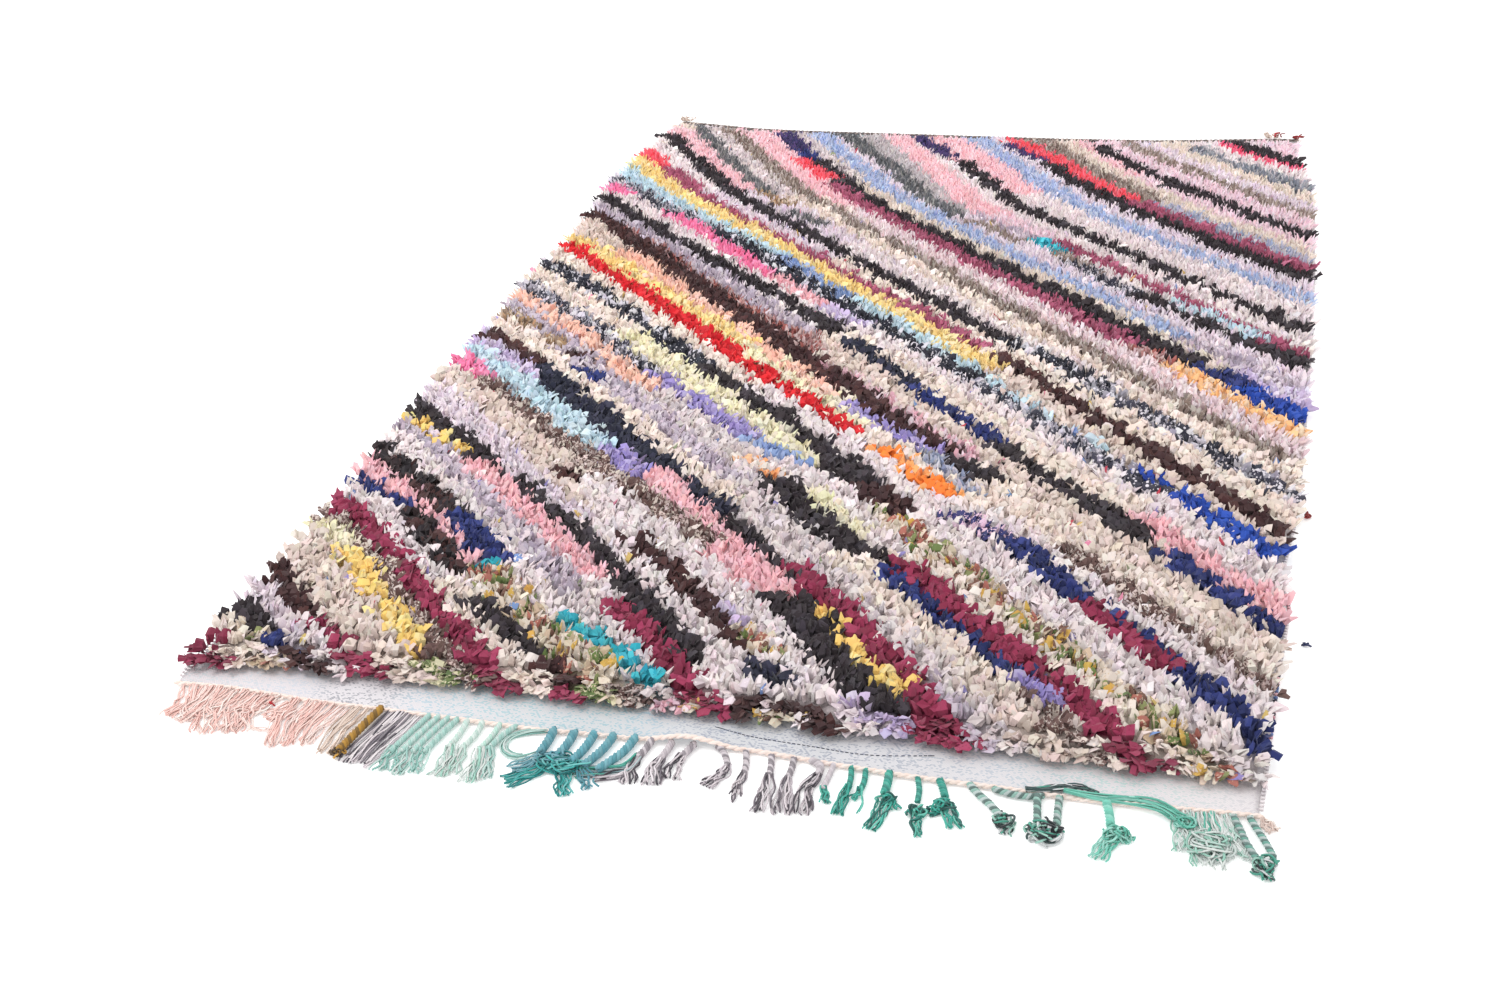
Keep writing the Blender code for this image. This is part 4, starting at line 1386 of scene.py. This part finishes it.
def weave_material():
    """Flecked plain weave: floats of weft, darker in the gaps between them."""
    material, tree, shader, place = new_material("flecked_plain_weave", 0.95, 0.1)
    floats = {
        "Vector": place,
        "Color1": (0, 0, 0, 1),
        "Color2": (1, 1, 1, 1),
        "Mortar": (0.2, 0.2, 0.2, 1),
        "Scale": 1.0,
        "Mortar Size": GAP_WIDTH,
        "Mortar Smooth": 0.9,
        "Brick Width": FLOAT_LENGTH,
        "Row Height": FLOAT_HEIGHT,
    }
    weave = add_node(tree, "ShaderNodeTexBrick", floats)
    apart = add_node(tree, "ShaderNodeSeparateXYZ", {0: place})
    across = maths(tree, "MULTIPLY_ADD", apart.outputs[0], 1 / RUG_WIDTH, 0.5)
    stretched = add_node(tree, "ShaderNodeMapping", {"Vector": place, "Scale": STREAKS})
    streaks = grain(tree, stretched.outputs["Vector"], 1.0, 2.0)
    limit = maths(tree, "MULTIPLY_ADD", streaks, FLECK_STREAKS, FLECK_LIMIT)
    fleck = maths(tree, "GREATER_THAN", weave.outputs["Color"], limit)
    flecked = mix_colours(
        tree,
        maths(tree, "MULTIPLY", fleck, FLECK_STRENGTH),
        colour_ramp(tree, across, PALE_WEFT),
        colour_ramp(tree, across, FLECKS),
    )
    shadow = add_node(tree, "ShaderNodeRGB").outputs[0]
    shadow.default_value = (*shade(*GAP_SHADE), 1)
    gap = maths(tree, "MULTIPLY", weave.outputs["Fac"], GAP_DEPTH)
    tree.links.new(mix_colours(tree, gap, flecked, shadow), shader.inputs["Base Color"])
    add_bump(tree, shader, weave.outputs["Fac"], 0.7, 0.0007, invert=True)
    return material


ground_cloth.data.materials.append(weave_material())

# %% [markdown]
# ## Yarns
#
# Every cord, thread and tassel is built from rods in a few yarns. A yarn is a few shades
# that its threads take by chance, because the real ones are spun from scraps. In a rope the
# plies take them in turn, drawn half way to their mean, so that it doesn't look candy-striped.

# %% Yarn shades
YARNS = {
    "salmon": ((243, 205, 196), (236, 190, 181), (245, 219, 212)),
    "tan": ((216, 194, 180), (232, 212, 200), (198, 172, 156)),
    "ochre": ((178, 132, 52), (84, 66, 44), (196, 148, 60), (128, 100, 50)),
    "grey_black": ((216, 206, 210), (76, 70, 80), (198, 188, 194), (222, 214, 216), (120, 112, 120)),
    "mint": ((158, 198, 190), (198, 210, 206), (136, 184, 174), (176, 203, 196)),
    "pale_mint": ((182, 210, 200), (210, 216, 212), (154, 200, 184), (198, 208, 204)),
    "teal": ((84, 146, 160), (106, 160, 172), (74, 140, 152), (122, 168, 176)),
    "sea": ((36, 148, 144), (62, 166, 162), (30, 122, 124), (104, 184, 182)),
    "grey_teal": ((124, 152, 158), (88, 92, 100), (164, 180, 182), (80, 166, 150)),
    "grey": ((210, 200, 204), (194, 184, 190), (104, 96, 104), (70, 64, 72), (218, 210, 214)),
    "teal_green": ((54, 158, 142), (46, 96, 92), (98, 186, 168), (40, 124, 114), (66, 168, 152)),
    "twist": ((42, 48, 52), (212, 216, 217), (76, 158, 138), (64, 84, 84), (150, 194, 180)),
    "green": ((112, 194, 174), (150, 208, 194), (94, 178, 158)),
    "cord": ((238, 218, 208), (230, 206, 196), (242, 226, 218)),
    "far_cord": ((84, 74, 74), (206, 196, 190), (60, 54, 60), (180, 160, 150)),
    "selvedge": ((228, 220, 222), (216, 208, 212), (236, 228, 230)),
    "selvedge_pink": ((236, 188, 196), (60, 56, 72), (222, 160, 172), (96, 120, 170)),
    "stitches": ((56, 60, 76), (74, 84, 104)),
    "red": ((190, 40, 50), (150, 60, 60)),
    "dark_blue": ((36, 44, 84), (50, 56, 96)),
}
PLY_BLEND = 0.5
YARN_SPREAD = 0.07
yarn_draw = np.random.default_rng(23)


def yarn_colours(yarn, number, in_turn):
    """A shade for each of a number of rods in a yarn, by chance or, for a rope's plies, in turn."""
    shades = np.array([shade(*colour) for colour in YARNS[yarn]])
    picks = yarn_draw.integers(0, len(shades), number)
    if in_turn:
        picks = (picks[0] + np.arange(number)) % len(shades)
        shades = shades + PLY_BLEND * (shades.mean(axis=0) - shades)
    lightness = yarn_draw.normal(1.0, YARN_SPREAD, (number, 1))
    picked = np.clip(shades[picks] * lightness, DARKEST, PALEST)
    return np.concatenate((picked, np.ones((number, 1))), axis=1)


# %% Yarn finish
def yarn_material(name):
    """Spun yarn: the rod's colour, darker in its grain, with a fibrous bump."""
    material, tree, shader, place = new_material(name, 0.9, 0.15)
    own = read_colour(tree, "yarn_colour").outputs["Color"]
    fibre = grain(tree, place, 1400.0, 2.0)
    darker = add_node(tree, "ShaderNodeHueSaturation", {"Value": 0.80, "Color": own})
    worn = mix_colours(tree, fibre, darker.outputs["Color"], own)
    tree.links.new(worn, shader.inputs["Base Color"])
    add_bump(tree, shader, fibre, 0.5, 0.0005)
    return material


# %% Bundles of rods
class Bundle:
    """Rods of several templates, gathered for one joined piece."""

    def __init__(self):
        self.parts = []

    def add(self, template, spines, radii, yarn, in_turn=False):
        """Gather rods along spines, in the shades of a yarn."""
        radii = np.broadcast_to(radii, spines.shape[:2])
        colours = {"yarn_colour": yarn_colours(yarn, len(spines), in_turn)}
        self.parts.append((template, sweep(template, spines, radii), colours))

    def build(self, name, slot, *nodes):
        """Join what was gathered into one dressed piece."""
        obj = joined_object(name, self.parts, yarn_material(name + "_yarn"), smooth=True)
        print(name, sum(len(part[1]) for part in self.parts), "rods")
        return dress(obj, slot, *nodes)


# %% Twisted and smooth lines
def twisted(centre, radius, turns, plies):
    """The spines of the plies of a twisted cord along a centre line."""
    rings = len(centre)
    phase = np.linspace(0, turns * math.tau, rings)
    ahead = unit(np.gradient(centre, axis=0))
    side = unit(np.cross(ahead, np.array((0.0, 0.0, 1.0))))
    upward = np.cross(side, ahead)
    spines = []
    for ply in range(plies):
        angle = (phase + ply * math.tau / plies)[:, None]
        spines.append(centre + radius * (np.cos(angle) * side + np.sin(angle) * upward))
    return np.array(spines)


def along_path(points, rings):
    """A smooth line of evenly placed points through a few given ones."""
    points = np.asarray(points, dtype=float)
    places = np.linspace(0, len(points) - 1, rings)
    low = np.clip(np.floor(places).astype(int), 0, len(points) - 2)
    share = (places - low)[:, None]
    before = points[np.maximum(low - 1, 0)]
    after = points[np.minimum(low + 2, len(points) - 1)]
    first, last = points[low], points[low + 1]
    slope_first, slope_last = (last - before) / 2, (after - first) / 2
    square, cube = share ** 2, share ** 3
    return (
        (2 * cube - 3 * square + 1) * first
        + (cube - 2 * square + share) * slope_first
        + (3 * square - 2 * cube) * last
        + (cube - square) * slope_last
    )


# %% Threads and tangles
THREAD_RADIUS = 0.00145
THREAD_RINGS = 13
thread_rod = rod_template(THREAD_RINGS, 3)
PATH_STEPS = 48
THREAD_LIFT = 0.0045
START_LIFT = 0.0030
EDGE_LIFT = 0.0058
CORD_REACH = 0.0050
Hank = namedtuple("Hank", "yarn threads widths curl points")
Ball = namedtuple("Ball", "yarn threads centre size height")


def on_floor(points):
    """Points in metres, on the floor, from millimetres across and along the rug."""
    u, d = np.array(points, dtype=float).T / 1000
    return np.stack((u - RUG_WIDTH / 2, RUG_LENGTH / 2 - d, np.zeros(len(u))), axis=1)


def lay_hank(bundle, hank, behind_cord=False, lift=0.0):
    """Loose threads along a path. Behind the cord, none starts before the cord's outer side."""
    one = (hank.threads, 1)
    path = along_path(on_floor(hank.points), PATH_STEPS + 1)
    ahead = np.gradient(path, axis=0)
    side = unit(np.stack((-ahead[:, 1], ahead[:, 0]), axis=1), spare=0)
    share = np.linspace(0, 1, THREAD_RINGS)[None] * yarn_draw.uniform(0.84, 1.0, one)
    step = np.rint(share * PATH_STEPS).astype(int)
    spines = path[step]
    phase = yarn_draw.uniform(0, math.tau, one)
    waves = yarn_draw.uniform(0.7, 2.4, one) * math.tau
    swing = hank.curl / 1000 * np.sin(waves * share + phase) * np.minimum(1, 3 * share)
    width = (hank.widths[0] + (hank.widths[1] - hank.widths[0]) * share) / 1000
    spines[:, :, :2] += (yarn_draw.uniform(-0.5, 0.5, one) * width + swing)[..., None] * side[step]
    if behind_cord:
        cord_side = EDGE_Y - near_out(spines[..., 0]) - CORD_REACH
        spines[..., 1] = np.minimum(spines[..., 1], cord_side)
    rise = THREAD_LIFT * yarn_draw.uniform(0, 1, one) * (0.6 + 0.4 * np.cos(waves * share))
    spines[:, :, 2] = THREAD_RADIUS + START_LIFT * (1 - share) ** 4 + rise + lift
    bundle.add(thread_rod, spines, THREAD_RADIUS * yarn_draw.uniform(0.8, 1.15, one), hank.yarn)


def tangle(bundle, ball):
    """Threads that loop at random about a place, as in a knotted head."""
    one = (ball.threads, 1)
    centre = on_floor([ball.centre])[0]
    first_turn = yarn_draw.uniform(0, math.tau, one)
    turn = first_turn + np.linspace(0, 1, THREAD_RINGS) * yarn_draw.uniform(1.8, 5.0, one)
    heading = yarn_draw.uniform(0, math.tau, one)
    far_reach = yarn_draw.uniform(0.15, 0.34, one)
    side_reach = far_reach * yarn_draw.uniform(0.25, 0.8, one)
    a = far_reach * np.cos(turn)
    b = side_reach * np.sin(turn)
    across = a * np.cos(heading) - b * np.sin(heading) + yarn_draw.uniform(-0.15, 0.15, one)
    along = a * np.sin(heading) + b * np.cos(heading) + yarn_draw.uniform(-0.15, 0.15, one)
    dome = np.clip(1 - 2.2 * (across ** 2 + along ** 2), 0.1, 1)
    level = yarn_draw.uniform(0.1, 0.8, one) + 0.3 * np.sin(turn * 1.7 + heading)
    height = THREAD_RADIUS + ball.height / 1000 * np.clip(level, 0, 1) * dome
    x = centre[0] + across * ball.size[0] / 1000
    y = centre[1] + along * ball.size[1] / 1000
    bundle.add(thread_rod, np.stack((x, y, height), axis=2), 1.2 * THREAD_RADIUS, ball.yarn)


# %% [markdown]
# ## Edge cords
#
# Two yarns twined round the warps' ends lock the last shot of weft. The near cord is a
# plump pale pink one, and the far one is dark and light. Along both sides the weft turns
# back round the outer warps, which an overcast yarn covers.

# %% The near cord
EDGE_CORD_RINGS = 361
EDGE_CORD_STEP = 0.011
EDGE_CORD_RADIUS = 0.0024
EDGE_CORD_TWINE = 0.0016
NEAR_CORD_OUT = 0.0034
NEAR_CORD_HEIGHT = 0.0040
NEAR_CORD_RIGHT_INSET = 0.006
long_rod = rod_template(EDGE_CORD_RINGS, 5)


def twine_edge(bundle, x, y, z, yarn, in_turn=False):
    """Two yarns twined round each other along an edge."""
    centre = np.stack((x, y, z), axis=1)
    spines = twisted(centre, EDGE_CORD_TWINE, RUG_WIDTH / EDGE_CORD_STEP / 2, 2)
    bundle.add(long_rod, spines, EDGE_CORD_RADIUS, yarn, in_turn)


near_bundle = Bundle()
left_x = across_rug(0, RUG_LENGTH, CORD_INSET)
right_x = across_rug(1, RUG_LENGTH, NEAR_CORD_RIGHT_INSET)
cord_x = np.linspace(left_x, right_x, EDGE_CORD_RINGS)
cord_y = EDGE_Y - NEAR_CORD_OUT - near_out(cord_x)
twine_edge(near_bundle, cord_x, cord_y, NEAR_CORD_HEIGHT + ripple(cord_x, RUG_LENGTH), "cord")

# %% The dotted line of weft in the near band
LINE = ((790, 2335), (850, 2343), (925, 2347), (1000, 2350), (1080, 2336))
LINE_STITCHES = 47
STITCH_LENGTH = 0.0042
STITCH_RADIUS = 0.0008
STITCH_RINGS = 4
STITCH_HEIGHT = 0.0032
line = along_path(on_floor(LINE), LINE_STITCHES)
line[:, 2] = STITCH_HEIGHT + ripple(line[:, 0], RUG_LENGTH / 2 - line[:, 1])
ahead = unit(np.gradient(line, axis=0), spare=0)
steps = np.linspace(-0.5, 0.5, STITCH_RINGS)[None, :, None] * STITCH_LENGTH
stitches = line[:, None] + ahead[:, None] * steps
near_bundle.add(rod_template(STITCH_RINGS, 4), stitches, STITCH_RADIUS, "stitches")

# %% The far cord
FAR_CORD_HEIGHT = 0.0042
FAR_TUFT_LIFT = 0.0060
far_bundle = Bundle()
share = np.linspace(0, 1, EDGE_CORD_RINGS)
far_x = across_rug(share, far_end(share), CORD_INSET)
far_y = RUG_LENGTH / 2 - far_end(share) - CORD_WIDTH / 2
far_z = np.full(EDGE_CORD_RINGS, FAR_CORD_HEIGHT)
twine_edge(far_bundle, far_x, far_y, far_z, "far_cord", in_turn=True)
FAR_TUFTS = (
    Hank("tan", 12, (22, 40), 3.0, ((20, 12), (18, -6), (12, -26))),
    Hank("tan", 10, (26, 30), 3.0, ((1434, 14), (1430, -6), (1428, -24))),
    Hank("red", 5, (18, 22), 3.0, ((1444, 12), (1446, -8), (1452, -28))),
    Hank("red", 8, (12, 20), 3.0, ((1480, 14), (1488, 4), (1502, -8))),
)
for tuft in FAR_TUFTS:
    lay_hank(far_bundle, tuft, lift=FAR_TUFT_LIFT)

# %% The selvedges
SELVEDGE_STITCHES = 330
SELVEDGE_RADIUS = 0.0031
SELVEDGE_HEIGHT = 0.0050
SELVEDGE_YARN = 0.0016
SELVEDGE_SLANT = 0.006
ARC_RINGS = 6
ARC_PAST = 0.6
# Two stretches of the right side, from and to along the rug, are sewn in pink and dark.
PINK_STRETCHES = ((2.07, 2.23), (1.90, 1.95))
selvedge_bundle = Bundle()
arc_rod = rod_template(ARC_RINGS, 4)
along = np.linspace(0.03, RUG_LENGTH - 0.004, SELVEDGE_STITCHES)
y = RUG_LENGTH / 2 - along
arc = np.linspace(-ARC_PAST, math.pi + ARC_PAST, ARC_RINGS)
arc_y = y[:, None] + np.linspace(0, SELVEDGE_SLANT, ARC_RINGS)[None]
arc_z = np.tile(SELVEDGE_HEIGHT + SELVEDGE_RADIUS * np.cos(arc), (SELVEDGE_STITCHES, 1))
pink = np.zeros(SELVEDGE_STITCHES, dtype=bool)
for pink_from, pink_to in PINK_STRETCHES:
    pink |= (along > pink_from) & (along < pink_to)
for share, out in ((0.0, -1), (1.0, 1)):
    x = across_rug(share, along, CORD_INSET)
    arcs = np.stack((x[:, None] + out * SELVEDGE_RADIUS * np.sin(arc)[None], arc_y, arc_z), axis=2)
    striped = pink & (out > 0)
    selvedge_bundle.add(arc_rod, arcs[~striped], SELVEDGE_YARN, "selvedge")
    selvedge_bundle.add(arc_rod, arcs[striped], SELVEDGE_YARN, "selvedge_pink")
tangle(selvedge_bundle, Ball("red", 6, (1530, 1665), (18, 16), 9))
tangle(selvedge_bundle, Ball("dark_blue", 4, (1532, 2005), (30, 12), 6))
selvedge_bundle.build("selvedge_stitches", "edge_cord")

# %% [markdown]
# ## Fringe
#
# The weaver finished the warps in whatever way came to hand. A rope is twisted of three
# plies. A hank is loose threads that lie side by side and widen or narrow along their path.
# A ball is the head where threads are knotted. Every place is in millimetres across the rug
# from the left selvedge and along it from the far end, and the cord lies at about 2380.

# %% The ropes' table
Rope = namedtuple("Rope", "yarn thick points")
ROPES = [Rope(*row) for row in (
    ("ochre", 11, ((324, 2382), (317, 2415), (311, 2450), (307, 2476))),
    ("mint", 8, ((396, 2382), (386, 2420), (376, 2464))),
    ("mint", 8, ((410, 2382), (400, 2420), (391, 2462))),
    ("mint", 8, ((424, 2382), (414, 2420), (406, 2460))),
    ("mint", 8, ((438, 2382), (429, 2420), (422, 2458))),
    ("pale_mint", 8, ((452, 2382), (453, 2412), (449, 2442))),
    ("pale_mint", 8, ((474, 2381), (475, 2412), (468, 2440))),
    ("pale_mint", 8, ((500, 2380), (498, 2412), (492, 2440))),
    ("mint", 8, ((524, 2380), (512, 2406), (504, 2436))),
    ("teal", 11, ((577, 2381), (578, 2404), (576, 2430))),
    ("teal", 11, ((606, 2380), (606, 2406), (600, 2436))),
    ("teal", 11, ((634, 2379), (632, 2408), (624, 2440))),
    ("teal", 11, ((661, 2378), (656, 2410), (642, 2446))),
    ("teal", 11, ((691, 2376), (684, 2410), (664, 2448))),
    ("grey", 9, ((714, 2375), (711, 2396), (707, 2414))),
    ("grey", 9, ((741, 2372), (740, 2392), (737, 2408))),
    ("grey", 9, ((772, 2370), (767, 2388), (763, 2400))),
    ("grey", 8, ((802, 2370), (816, 2386), (827, 2408))),
    ("grey", 8, ((842, 2376), (849, 2400), (851, 2418))),
    ("grey", 8, ((877, 2378), (882, 2400), (884, 2416))),
    ("grey", 8, ((907, 2378), (909, 2400), (908, 2418))),
    ("grey", 9, ((930, 2378), (944, 2386), (945, 2402))),
    ("grey", 7, ((960, 2379), (959, 2402), (957, 2426))),
    ("teal_green", 7, ((983, 2380), (987, 2400), (988, 2418))),
    ("teal_green", 7, ((1002, 2381), (1005, 2402), (1004, 2420))),
    ("teal_green", 10, ((1033, 2383), (1035, 2404), (1035, 2424))),
    ("teal_green", 7, ((1070, 2385), (1076, 2406), (1078, 2428))),
    ("teal_green", 9, ((1098, 2385), (1105, 2400), (1110, 2414))),
    ("twist", 9, ((1136, 2386), (1150, 2402), (1167, 2418), (1182, 2436))),
    ("twist", 8, ((1166, 2388), (1188, 2393), (1210, 2393), (1228, 2388))),
    ("twist", 9, ((1221, 2390), (1224, 2414), (1228, 2442))),
    ("twist", 9, ((1248, 2389), (1249, 2412), (1251, 2438))),
    ("green", 10, ((1305, 2388), (1310, 2406), (1314, 2428))),
    ("twist", 8, ((1455, 2382), (1464, 2404), (1472, 2426), (1486, 2454))),
    ("twist", 8, ((1474, 2381), (1484, 2402), (1495, 2424), (1504, 2446))),
)]

# %% The hanks' table
HANKS = [Hank(*row) for row in (
    ("salmon", 26, (70, 46), 4.0, ((40, 2382), (44, 2420), (34, 2456))),
    ("salmon", 24, (70, 40), 5.0, ((70, 2380), (62, 2425), (72, 2452))),
    ("salmon", 34, (90, 60), 5.0, ((112, 2380), (98, 2425), (112, 2474))),
    ("salmon", 18, (60, 36), 5.0, ((140, 2381), (128, 2420), (140, 2468))),
    ("salmon", 30, (90, 66), 4.0, ((172, 2384), (158, 2404), (150, 2424))),
    ("salmon", 3, (3, 4), 1.5, ((140, 2440), (165, 2453), (192, 2450))),
    ("salmon", 30, (56, 34), 3.0, ((214, 2384), (206, 2430), (218, 2484))),
    ("salmon", 32, (66, 44), 2.5, ((248, 2384), (236, 2430), (240, 2474))),
    ("tan", 26, (54, 44), 2.0, ((296, 2384), (284, 2435), (286, 2486))),
    ("grey_black", 34, (56, 48), 1.8, ((360, 2384), (344, 2440), (334, 2498))),
    ("mint", 16, (30, 52), 3.0, ((384, 2455), (384, 2480), (386, 2502))),
    ("mint", 16, (30, 44), 3.0, ((414, 2452), (414, 2480), (420, 2502))),
    ("pale_mint", 14, (14, 30), 2.5, ((450, 2438), (456, 2470), (456, 2500))),
    ("pale_mint", 12, (12, 26), 2.5, ((469, 2436), (474, 2466), (476, 2492))),
    ("pale_mint", 16, (14, 32), 2.5, ((492, 2436), (500, 2470), (504, 2504))),
    ("mint", 12, (12, 24), 2.5, ((504, 2432), (512, 2462), (518, 2494))),
    ("mint", 7, (8, 14), 1.0, (
        (568, 2382), (540, 2389), (521, 2404), (523, 2430), (546, 2440), (574, 2420),
    )),
    ("sea", 13, (22, 34), 3.0, ((592, 2452), (572, 2472), (548, 2492))),
    ("teal", 8, (18, 24), 3.0, ((580, 2436), (562, 2452), (548, 2468))),
    ("sea", 14, (24, 22), 3.0, ((618, 2458), (628, 2484), (636, 2504))),
    ("teal", 9, (20, 26), 3.0, ((640, 2454), (654, 2470), (662, 2484))),
    ("grey_teal", 16, (12, 22), 2.0, ((706, 2412), (694, 2434), (664, 2446), (628, 2456))),
    ("grey", 9, (10, 16), 2.0, ((708, 2410), (700, 2440), (680, 2456), (660, 2462))),
    ("grey", 13, (10, 28), 2.5, ((707, 2412), (705, 2436), (712, 2464))),
    ("grey", 15, (10, 32), 2.5, ((737, 2406), (733, 2430), (740, 2460))),
    ("grey", 12, (10, 26), 2.5, ((763, 2398), (757, 2420), (760, 2446))),
    ("grey", 14, (10, 28), 3.0, ((827, 2406), (822, 2424), (808, 2450))),
    ("grey", 3, (4, 5), 2.0, ((824, 2424), (820, 2440), (817, 2456))),
    ("grey", 11, (9, 24), 2.5, ((851, 2416), (849, 2436), (850, 2460))),
    ("grey", 3, (3, 4), 1.5, ((850, 2440), (850, 2456), (852, 2472))),
    ("grey", 15, (10, 30), 2.5, ((884, 2414), (888, 2446), (892, 2484))),
    ("grey", 15, (10, 30), 2.5, ((908, 2416), (911, 2446), (918, 2482))),
    ("grey", 16, (10, 30), 3.0, ((945, 2400), (934, 2434), (940, 2480))),
    ("teal_green", 6, (7, 12), 2.0, ((957, 2424), (961, 2438), (966, 2452))),
    ("teal_green", 11, (9, 18), 2.0, ((988, 2416), (985, 2440), (986, 2470))),
    ("teal_green", 5, (7, 8), 1.5, ((1004, 2418), (1001, 2428), (997, 2438))),
    ("teal_green", 2, (3, 3), 1.5, ((1004, 2418), (1010, 2440), (1010, 2465))),
    ("teal_green", 14, (20, 16), 2.0, ((1038, 2436), (1034, 2460), (1029, 2490))),
    ("teal_green", 6, (12, 14), 2.0, ((1042, 2430), (1050, 2438), (1054, 2446))),
    ("teal_green", 9, (16, 9), 2.0, ((1080, 2446), (1084, 2468), (1090, 2490))),
    ("teal_green", 8, (14, 14), 2.0, ((1110, 2426), (1102, 2438), (1094, 2448))),
    ("teal_green", 12, (18, 22), 2.0, ((1116, 2430), (1122, 2448), (1132, 2468))),
    ("twist", 7, (20, 14), 2.0, ((1188, 2440), (1192, 2454), (1192, 2466))),
    ("green", 14, (18, 22), 2.5, ((1320, 2436), (1312, 2460), (1302, 2488))),
    ("green", 8, (12, 16), 2.5, ((1324, 2432), (1332, 2440), (1340, 2450))),
    ("pale_mint", 16, (30, 30), 4.0, ((1392, 2386), (1402, 2420), (1404, 2456))),
    ("pale_mint", 20, (36, 44), 5.0, ((1418, 2384), (1430, 2430), (1434, 2478))),
    ("green", 9, (24, 34), 5.0, ((1420, 2384), (1432, 2425), (1440, 2462))),
    ("pale_mint", 16, (26, 36), 5.0, ((1442, 2383), (1456, 2425), (1464, 2458))),
    ("twist", 8, (14, 16), 2.0, ((1488, 2450), (1496, 2468), (1500, 2484))),
    ("cord", 13, (8, 28), 2.0, ((1488, 2379), (1496, 2386), (1504, 2398))),
)]

# Two hanks lie across the cord instead of coming out behind it.
OVER_CORD = (
    Hank("twist", 12, (8, 9), 2.5, (
        (1206, 2388), (1228, 2380), (1250, 2370), (1274, 2369), (1292, 2378),
    )),
    Hank("green", 16, (3, 24), 2.0, (
        (1252, 2382), (1290, 2384), (1332, 2381), (1368, 2387), (1396, 2405),
    )),
)

# %% The balls' table
BALLS = [Ball(*row) for row in (
    ("red", 4, (162, 2398), (12, 10), 6),
    ("ochre", 11, (306, 2480), (24, 26), 10),
    ("sea", 40, (612, 2448), (92, 54), 16),
    ("teal", 24, (596, 2440), (84, 46), 13),
    ("teal_green", 15, (1042, 2432), (36, 28), 12),
    ("teal_green", 14, (1080, 2446), (34, 38), 11),
    ("teal_green", 16, (1112, 2430), (44, 32), 12),
    ("twist", 18, (1188, 2444), (38, 38), 13),
    ("twist", 44, (1240, 2458), (60, 54), 17),
    ("green", 20, (1322, 2440), (44, 38), 13),
    ("green", 16, (1398, 2406), (38, 32), 11),
    ("pale_mint", 30, (1432, 2440), (84, 70), 11),
    ("twist", 26, (1494, 2464), (42, 46), 14),
)]


# %% Twist the ropes
ROPE_RINGS = 33
ROPE_FULLNESS = 1.15
# Shares of a rope's thickness: its centre's height, the plies' circle, a ply and one turn.
ROPE_RISE = 0.53
PLY_CIRCLE = 0.24
PLY_RADIUS = 0.28
TURN_LENGTH = 1.35
ROPE_START_LIFT = 0.0010
rope_rod = rod_template(ROPE_RINGS, 5)
fringe_bundle = Bundle()
for rope in ROPES:
    thick = ROPE_FULLNESS * rope.thick / 1000
    centre = along_path(on_floor(rope.points), ROPE_RINGS)
    centre[:, 1] = np.minimum(centre[:, 1], EDGE_Y - near_out(centre[:, 0]) - CORD_REACH)
    centre[:, 2] = ROPE_RISE * thick + np.linspace(ROPE_START_LIFT, 0.0, ROPE_RINGS)
    length = np.linalg.norm(np.diff(centre, axis=0), axis=1).sum()
    plies = twisted(centre, thick * PLY_CIRCLE, length / (thick * TURN_LENGTH), 3)
    fringe_bundle.add(rope_rod, plies, thick * PLY_RADIUS, rope.yarn, in_turn=True)

# %% Lay the hanks
for hank in HANKS:
    lay_hank(fringe_bundle, hank, behind_cord=True)
for hank in OVER_CORD:
    lay_hank(fringe_bundle, hank, lift=EDGE_LIFT)

# %% Knot the balls
for ball in BALLS:
    tangle(fringe_bundle, ball)

# %% Build the cords and the fringe
near_bundle.build("near_cord", "edge_cord")
far_bundle.build("far_twine", "edge_cord", "far_cord")
fringe_bundle.build("fringe_threads", "fringe_yarn", "near_fringe")

# %% [markdown]
# ## Floor paper and triangles
#
# The floor is white paper that glows a little, so that it reads as white as the room. Then
# the triangles in the rug's meshes are counted.

# %% Floor finish
floor_material = bpy.data.materials.new("floor_paper")
floor_material.use_nodes = True
floor_shader = floor_material.node_tree.nodes["Principled BSDF"]
floor_shader.inputs["Base Color"].default_value = (0.94, 0.94, 0.94, 1.0)
floor_shader.inputs["Roughness"].default_value = 0.9
floor_shader.inputs["Emission Color"].default_value = (1.0, 1.0, 1.0, 1.0)
floor_shader.inputs["Emission Strength"].default_value = 0.2
floor.data.materials.append(floor_material)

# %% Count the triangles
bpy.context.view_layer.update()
triangles = sum(
    sum(len(face.vertices) - 2 for face in obj.data.polygons)
    for obj in bpy.context.scene.objects
    if obj.type == "MESH" and not obj.hide_render and obj is not floor
)
print("triangles in all:", triangles)
